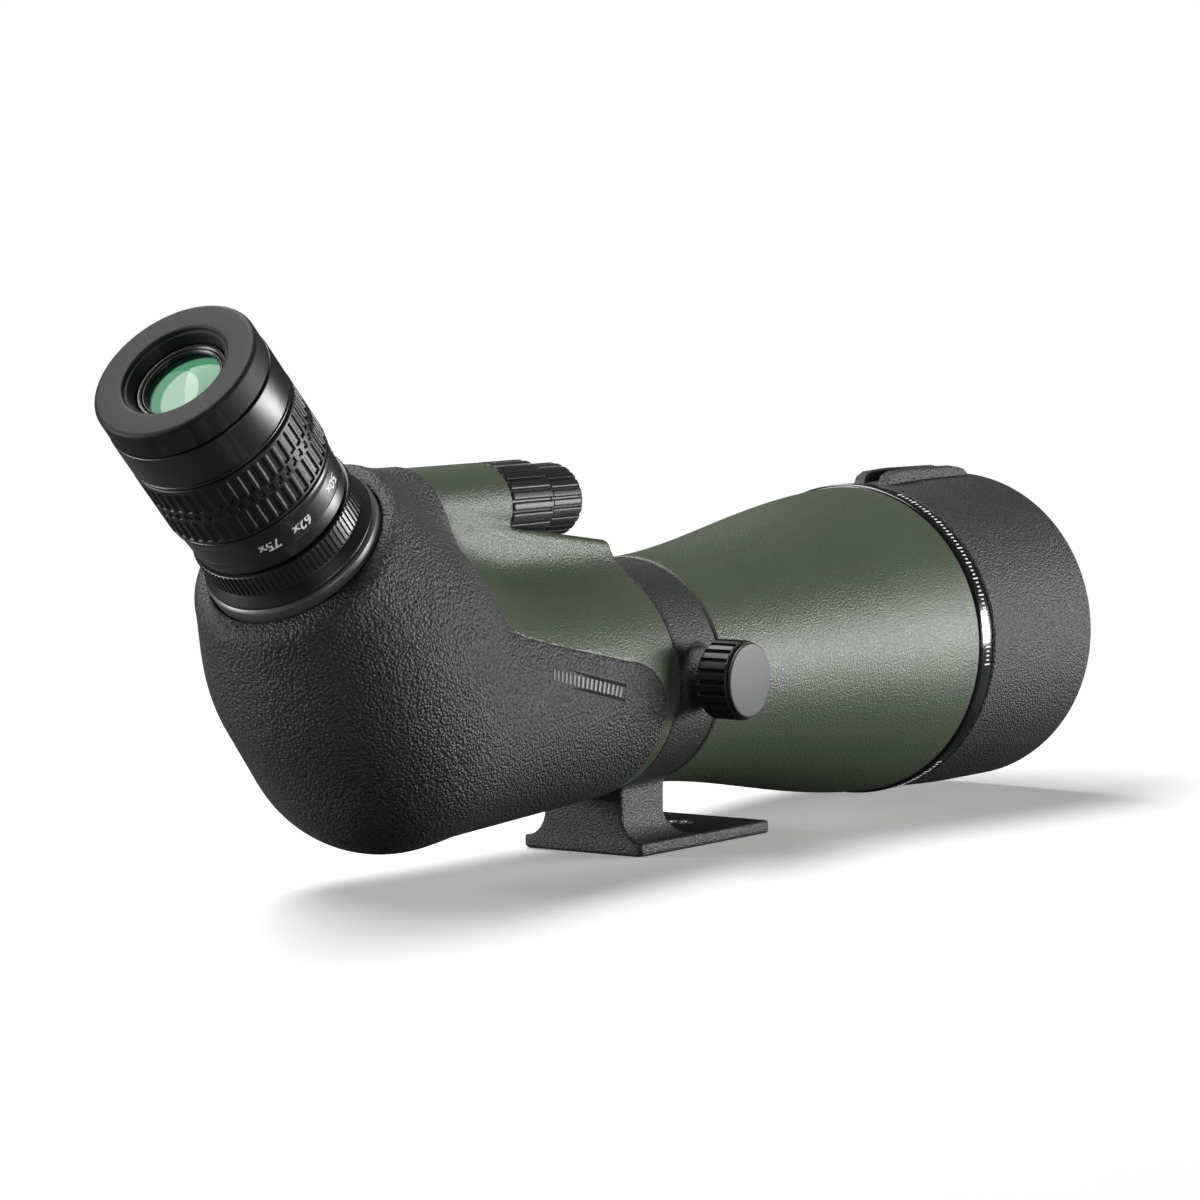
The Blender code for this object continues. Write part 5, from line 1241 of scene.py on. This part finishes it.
class SCOPE_OT_eyepiece_rings(bpy.types.Operator):
    """Builds the eyepiece's grey base ring, the knurled lock ring and the zoom scale with its numbers"""

    bl_idname = "scope.build_eyepiece_rings"
    bl_label = "Eyepiece Rings"

    def execute(self, context):
        detail = context.scene.scope_detail
        low, high, radius = reach_of("eyepiece_base_ring", EYE_ORIGIN, EYE_DIRECTION)
        seat = PORT_STEP + GAP
        loop = [(RING_BORE, low), (PORT_BORE - GAP, low), (PORT_BORE - GAP, seat), (radius, seat),
                (radius, high - 0.9), (radius - 0.8, high), (RING_BORE, high)]
        turned_piece("grey_base_ring", softened(loop, 0.3), EYE_AXIS, grey_anodising(), "scope",
                     ["eyepiece_base_ring"], "grey_anodised")
        low, high, radius = reach_of("eyepiece_lock_ring", EYE_ORIGIN, EYE_DIRECTION)
        knurl = low + 3.9
        neck = KNURL_RADIUS - 0.7
        loop = [(LOCK_RING_BORE, low), (radius - 0.1, low), (radius, low + 0.5),
                (KNURL_RADIUS - 0.3, knurl - 0.8), (neck, knurl - 0.3), (neck, knurl),
                (KNURL_RADIUS, knurl + 0.3), (KNURL_RADIUS, high - 0.5), (KNURL_RADIUS - 0.5, high),
                (LOCK_RING_BORE, high)]
        relief = ribs(detail.knurl_ribs, 0.42, knurl + 0.1, high - 0.15, KNURL_RADIUS, 0.5, 0.35)
        turned_piece("knurled_lock_ring", divided(softened(loop, 0.25, 3), 0.5), EYE_AXIS, satin_black(),
                     "eyepiece_lock", ["eyepiece_lock_ring"], "satin_black", detail.knurl_ribs * 10, relief)
        self.build_scale()
        return {"FINISHED"}

    def build_scale(self):
        low, high, _ = reach_of("zoom_scale_ring", EYE_ORIGIN, EYE_DIRECTION)
        top, spigot_top = low + DIAL_LENGTH, high - GAP
        loop = [(RING_BORE, low), (23.4, low), (23.7, low + 0.3), (23.95, low + 4.4), (23.8, low + 4.55),
                (23.8, low + 4.75), (23.97, low + 4.9), (24.35, top - 3.2), (24.9, top - 1.4),
                (24.9, top - 0.3), (24.5, top), (DIAL_SPIGOT_RADIUS, top), (DIAL_SPIGOT_RADIUS, spigot_top),
                (RING_BORE, spigot_top)]
        turned_piece("zoom_dial", softened(loop, 0.25, 3), EYE_AXIS, satin_black(), "zoom",
                     ["zoom_scale_ring"], "satin_black", 256)
        numbers = []
        for label, degrees in (("25x", 0), ("37x", 42), ("50x", 79), ("62x", 116), ("75x", 142)):
            turn = math.radians(degrees)
            numbers.append(wrapped_mesh(*letter_mesh(label, 4.4), EYE_AXIS, turn, low + 7.7, 24.17, 0.06))
        add_piece("dial_numbers", *joined(numbers), white_print(), "zoom", slot="grey_anodised", crease=20)
        mark = wrapped_mesh(*bar_mesh(0.6, 2.6), EYE_AXIS, 0.0, low - 9.6, 25.8, 0.05)
        add_piece("dial_index_mark", *mark, white_print(), "eyepiece_lock", slot="grey_anodised")


def letter_mesh(text, size):
    """The text's faces and thickness as (across, up, -1 to 1) points."""
    curve = bpy.data.curves.new("numerals", "FONT")
    curve.body = text
    curve.size = size
    curve.extrude = 1.0
    curve.offset = 0.02 * size
    curve.resolution_u = 3
    curve.align_x, curve.align_y = "CENTER", "CENTER"
    drawn = bpy.data.objects.new("numerals", curve)
    bpy.context.scene.collection.objects.link(drawn)
    mesh = drawn.evaluated_get(bpy.context.evaluated_depsgraph_get()).to_mesh()
    points = [tuple(vertex.co) for vertex in mesh.vertices]
    faces = [list(face.vertices) for face in mesh.polygons]
    bpy.data.objects.remove(drawn)
    bpy.data.curves.remove(curve)
    return points, faces


class SCOPE_OT_zoom_grip(bpy.types.Operator):
    """Builds the rubber zoom grip with its two rows of slots and the short row between them"""

    bl_idname = "scope.build_zoom_grip"
    bl_label = "Zoom Grip"

    def execute(self, context):
        detail = context.scene.scope_detail
        low, high, radius = reach_of("zoom_grip", EYE_ORIGIN, EYE_DIRECTION)
        columns, depth = detail.grip_columns, detail.slot_depth / MM
        loop = [(GRIP_BORE, low), (radius - 0.5, low), (radius, low + 0.6), (radius, high - 0.6),
                (radius - 0.5, high), (GRIP_BORE, high)]

        def slots(turn, at_radius, height):
            count = turn * columns / (2 * math.pi)
            share, offset = count % 1.0, (count + 0.5) % 1.0
            wide = np.clip((0.29 - np.abs(share - 0.5)) / 0.07 + 0.5, 0, 1)
            narrow = np.clip((0.24 - np.abs(offset - 0.5)) / 0.07 + 0.5, 0, 1)
            wave = 0.9 * np.abs((np.floor(count) / 6.0) % 1.0 - 0.5) * 2
            middle = (low + high) / 2 + wave - 0.45

            def between(start, end):
                return np.clip(np.minimum(height - start, end - height) / 0.3 + 0.5, 0, 1)

            upper = wide * between(middle + 2.1, high - 1.5)
            lower = wide * between(low + 1.5, middle - 2.1)
            dots = narrow * between(middle - 0.95, middle + 0.95)
            pattern = np.maximum(np.maximum(upper, lower), dots)
            return depth * eased(pattern) * (at_radius > radius - 0.4)

        turned_piece("slotted_zoom_grip", divided(softened(loop, 0.3, 3), 0.22), EYE_AXIS, knob_rubber(),
                     "zoom", ["zoom_grip"], "black_rubber", columns * 14, slots, crease=60)
        return {"FINISHED"}


class SCOPE_OT_eyecup(bpy.types.Operator):
    """Builds the twist-up eyecup, its rubber rim and the eye lens inside it, which glows with a painted green
    reflection
    """

    bl_idname = "scope.build_eyecup"
    bl_label = "Eyecup"

    def execute(self, context):
        low, high, radius = reach_of("eyecup_sleeve", EYE_ORIGIN, EYE_DIRECTION)
        loop = [(SLEEVE_BORE, low), (radius - 0.4, low), (radius, low + 0.4), (radius, low + 1.0),
                (radius - 0.35, low + 1.15), (radius - 0.35, low + 1.4), (radius, low + 1.55),
                (radius, high - 0.3), (radius - 0.3, high), (EYECUP_OPENING, high),
                (EYECUP_OPENING, high - 2.0), (SLEEVE_BORE, high - 2.0)]
        turned_piece("eyecup_twist_sleeve", softened(loop, 0.25, 3), EYE_AXIS, satin_black(), "eyecup",
                     ["eyecup_sleeve"], "satin_black", 256)
        low, high, radius = reach_of("eyecup_rubber", EYE_ORIGIN, EYE_DIRECTION)
        lip = [(radius - 1.5 * (1 - math.sin(t)), high - 1.5 * (1 - math.cos(t)))
               for t in np.linspace(math.pi / 2, 0, 10)]
        bowl = [(16.7, high - 0.05), (16.15, high - 0.35), (15.9, high - 1.3), (15.5, high - 1.5),
                (15.2, high - 1.2), (EYECUP_OPENING, high - 1.45), (EYECUP_BORE, high - 4.3),
                (EYECUP_BORE, low + 0.4), (EYECUP_BORE + 0.2, low)]
        loop = [(radius - 0.3, low), (radius, low + 0.4)] + lip + bowl
        turned_piece("eyecup_rim", softened(loop, 0.2, 3), EYE_AXIS, black_rubber(), "eyecup",
                     ["eyecup_rubber"], "black_rubber", 256)
        self.build_lens()
        return {"FINISHED"}

    def build_lens(self):
        low, high, radius = reach_of("eye_lens_cell", EYE_ORIGIN, EYE_DIRECTION)
        seat = reach_of("eye_lens", EYE_ORIGIN, EYE_DIRECTION)[0] - GAP
        shoulder = high - NECK_LENGTH
        flange = shoulder - FLANGE_LENGTH
        loop = [(LENS_MOUNT_BORE, low), (LENS_MOUNT_SPIGOT, low), (LENS_MOUNT_SPIGOT, flange),
                (radius, flange), (radius, shoulder), (NECK_RADIUS, shoulder), (NECK_RADIUS, high - 0.2),
                (NECK_RADIUS - 0.3, high), (NECK_RADIUS - 0.8, high - 0.25), (LENS_SEAT_RADIUS, high - 0.6),
                (LENS_SEAT_RADIUS, seat), (LENS_MOUNT_BORE, seat)]
        turned_piece("eye_lens_mount", softened(loop, 0.15, 2), EYE_AXIS, satin_black(), "eyepiece",
                     ["eye_lens_cell"], "satin_black", 160)
        low, high, radius = reach_of("eye_lens_retainer", EYE_ORIGIN, EYE_DIRECTION)
        loop = [(11.3, low), (radius, low), (radius, high), (12.0, high), (11.4, high - 0.7)]
        turned_piece("eye_lens_ring", softened(loop, 0.15, 2), EYE_AXIS, satin_black(), "eyepiece",
                     ["eye_lens_retainer"], "satin_black", 160)
        low, high, radius = reach_of("eye_lens", EYE_ORIGIN, EYE_DIRECTION)
        steps = np.linspace(0, 1, 21)
        face = [(radius * t, high - 1.6 * t * t) for t in steps]
        back = [(radius * t, low) for t in (0, 1)]
        turned_piece("eye_lens_with_painted_glow", back + face[::-1], EYE_AXIS, eye_glass_with_painted_glow(), "eyepiece",
                     ["eye_lens"], "glass", 160)


class SCOPE_OT_inner_parts(bpy.types.Operator):
    """Gives every assembly part that still shows its finished material"""

    bl_idname = "scope.dress_inner_parts"
    bl_label = "Inner Parts"

    def execute(self, context):
        for name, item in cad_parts.items():
            if item.hide_render:
                continue
            item.data.materials.clear()
            item.data.materials.append(inner_finish(name)())
        return {"FINISHED"}


def inner_finish(name):
    """The finish of a part inside the scope, by what its name ends in."""
    if name.endswith(("prism", "lens", "element")):
        return optical_glass
    if name.endswith(("thread_bush", "rod", "shaft", "screw", "clamp")):
        return turned_steel
    if name.endswith(("bush", "arm", "cam_sleeve", "detent_ring")):
        return machined_brass
    if name.endswith("pad"):
        return black_rubber
    return flocked_black


class SCOPE_OT_stage(bpy.types.Operator):
    """Builds the floor, the softboxes, the surround and the camera"""

    bl_idname = "scope.build_stage"
    bl_label = "Stage"

    def execute(self, context):
        stage = context.scene.scope_stage
        self.build_floor()
        self.build_surround(context, stage.surround)
        centre = Vector((0.0, 0.02, 0.06))
        lamps = (
            ("top_softbox", (-0.42, -0.12, 1.05), (1.5, 0.5), stage.top_power),
            ("side_softbox", (1.05, 0.95, 0.12), (1.1, 0.30), stage.side_power),
            ("rear_softbox", (-0.85, -0.85, 0.20), (0.5, 0.4), stage.rear_power),
            ("camera_fill", (1.25, -0.70, 0.06), (0.5, 0.3), stage.fill_power),
        )
        for name, place, size, power in lamps:
            self.build_softbox(name, place, centre, size, power)
        self.build_camera(context, stage.lens_length)
        return {"FINISHED"}

    @staticmethod
    def build_floor():
        mesh = bpy.data.meshes.new("studio_floor")
        half = 1.2
        mesh.from_pydata([(-half, -half, 0), (half, -half, 0), (half, half, 0), (-half, half, 0)], [],
                         [(0, 1, 2, 3)])
        floor = bpy.data.objects.new("studio_floor", mesh)
        floor.location.z = -0.0002
        bpy.context.scene.collection.objects.link(floor)
        finish, tree = new_finish("pale_studio_paper")
        mesh.materials.append(finish)
        seen = tree.nodes["Principled BSDF"]
        fill_in(seen, Base_Color=(0.93, 0.93, 0.93, 1.0), Roughness=0.9, Specular_IOR_Level=0.0,
                Emission_Color=(1.0, 1.0, 1.0, 1.0), Emission_Strength=0.22)
        dim = node(tree, "ShaderNodeBsdfDiffuse", Color=(0.16, 0.16, 0.16, 1.0))
        rays = node(tree, "ShaderNodeLightPath")
        mixed = mix_shader(tree, rays.outputs["Is Camera Ray"], dim, seen)
        place = node(tree, "ShaderNodeTexCoord")
        reach = node(tree, "ShaderNodeVectorMath", operation="LENGTH")
        tree.links.new(place.outputs["Object"], reach.inputs[0])
        fade = mapped(tree, reach.outputs["Value"], interpolation_type="SMOOTHSTEP", From_Min=0.36,
                      From_Max=0.70)
        faded = mix_shader(tree, fade, mixed, node(tree, "ShaderNodeBsdfTransparent"))
        tree.links.new(faded.outputs[0], tree.nodes["Material Output"].inputs["Surface"])

    @staticmethod
    def build_surround(context, brightness):
        world = bpy.data.worlds.new("studio_surround")
        context.scene.world = world
        world.use_nodes = True
        tree = world.node_tree
        dim = tree.nodes["Background"]
        fill_in(dim, Color=(1.0, 1.0, 1.0, 1.0), Strength=brightness)
        bright = node(tree, "ShaderNodeBackground", Color=(1.0, 1.0, 1.0, 1.0))
        rays = node(tree, "ShaderNodeLightPath")
        mixed = mix_shader(tree, rays.outputs["Is Camera Ray"], dim, bright)
        tree.links.new(mixed.outputs[0], tree.nodes["World Output"].inputs["Surface"])
        context.scene.view_settings.view_transform = "Standard"

    @staticmethod
    def build_softbox(name, place, target, size, power):
        light = bpy.data.lights.new(name, "AREA")
        light.shape = "RECTANGLE"
        light.size, light.size_y = size
        light.energy = power
        holder = bpy.data.objects.new(name, light)
        holder.location = place
        holder.rotation_euler = (target - Vector(place)).to_track_quat("-Z", "Y").to_euler()
        bpy.context.scene.collection.objects.link(holder)

    @staticmethod
    def build_camera(context, lens_length):
        camera = bpy.data.cameras.new("scope_camera")
        camera.lens = lens_length
        camera.sensor_width = 36.0
        holder = bpy.data.objects.new("scope_camera", camera)
        holder.location = (0.8730, -1.2976, 0.2022)
        holder.rotation_euler = (math.radians(90 - 4.63), math.radians(0.09), math.radians(34.48))
        context.scene.collection.objects.link(holder)
        context.scene.camera = holder


class SCOPE_PT_panel(bpy.types.Panel):
    """Lists the scope's pieces and their settings"""

    bl_idname = "SCOPE_PT_panel"
    bl_label = "Spotting Scope"
    bl_space_type = "VIEW_3D"
    bl_region_type = "UI"
    bl_category = "Spotting Scope"

    def draw(self, context):
        for operator in PIECE_OPERATORS:
            self.layout.operator(operator.bl_idname)
        for group in (context.scene.scope_finish, context.scene.scope_detail, context.scene.scope_stage):
            box = self.layout.box()
            for name in group.bl_rna.properties.keys():
                if name not in ("rna_type", "name"):
                    box.prop(group, name)


PIECE_OPERATORS = (
    SCOPE_OT_rear_body, SCOPE_OT_badge, SCOPE_OT_barrel, SCOPE_OT_objective, SCOPE_OT_hood, SCOPE_OT_collar,
    SCOPE_OT_lock_knob, SCOPE_OT_focus_knobs, SCOPE_OT_eyepiece_rings, SCOPE_OT_zoom_grip, SCOPE_OT_eyecup,
    SCOPE_OT_inner_parts, SCOPE_OT_stage,
)
CLASSES = (ScopeFinishSettings, ScopeDetailSettings, ScopeStageSettings, *PIECE_OPERATORS, SCOPE_PT_panel)


def register():
    for item in CLASSES:
        bpy.utils.register_class(item)
    bpy.types.Scene.scope_finish = PointerProperty(type=ScopeFinishSettings)
    bpy.types.Scene.scope_detail = PointerProperty(type=ScopeDetailSettings)
    bpy.types.Scene.scope_stage = PointerProperty(type=ScopeStageSettings)


def unregister():
    del bpy.types.Scene.scope_stage
    del bpy.types.Scene.scope_detail
    del bpy.types.Scene.scope_finish
    for item in reversed(CLASSES):
        bpy.utils.unregister_class(item)


def main():
    register()
    bpy.ops.scope.build_rear_body()
    bpy.ops.scope.build_badge()
    bpy.ops.scope.build_barrel()
    bpy.ops.scope.build_objective()
    bpy.ops.scope.build_hood()
    bpy.ops.scope.build_collar()
    bpy.ops.scope.build_lock_knob()
    bpy.ops.scope.build_focus_knobs()
    bpy.ops.scope.build_eyepiece_rings()
    bpy.ops.scope.build_zoom_grip()
    bpy.ops.scope.build_eyecup()
    bpy.ops.scope.dress_inner_parts()
    bpy.ops.scope.build_stage()


if __name__ == "__main__":
    main()
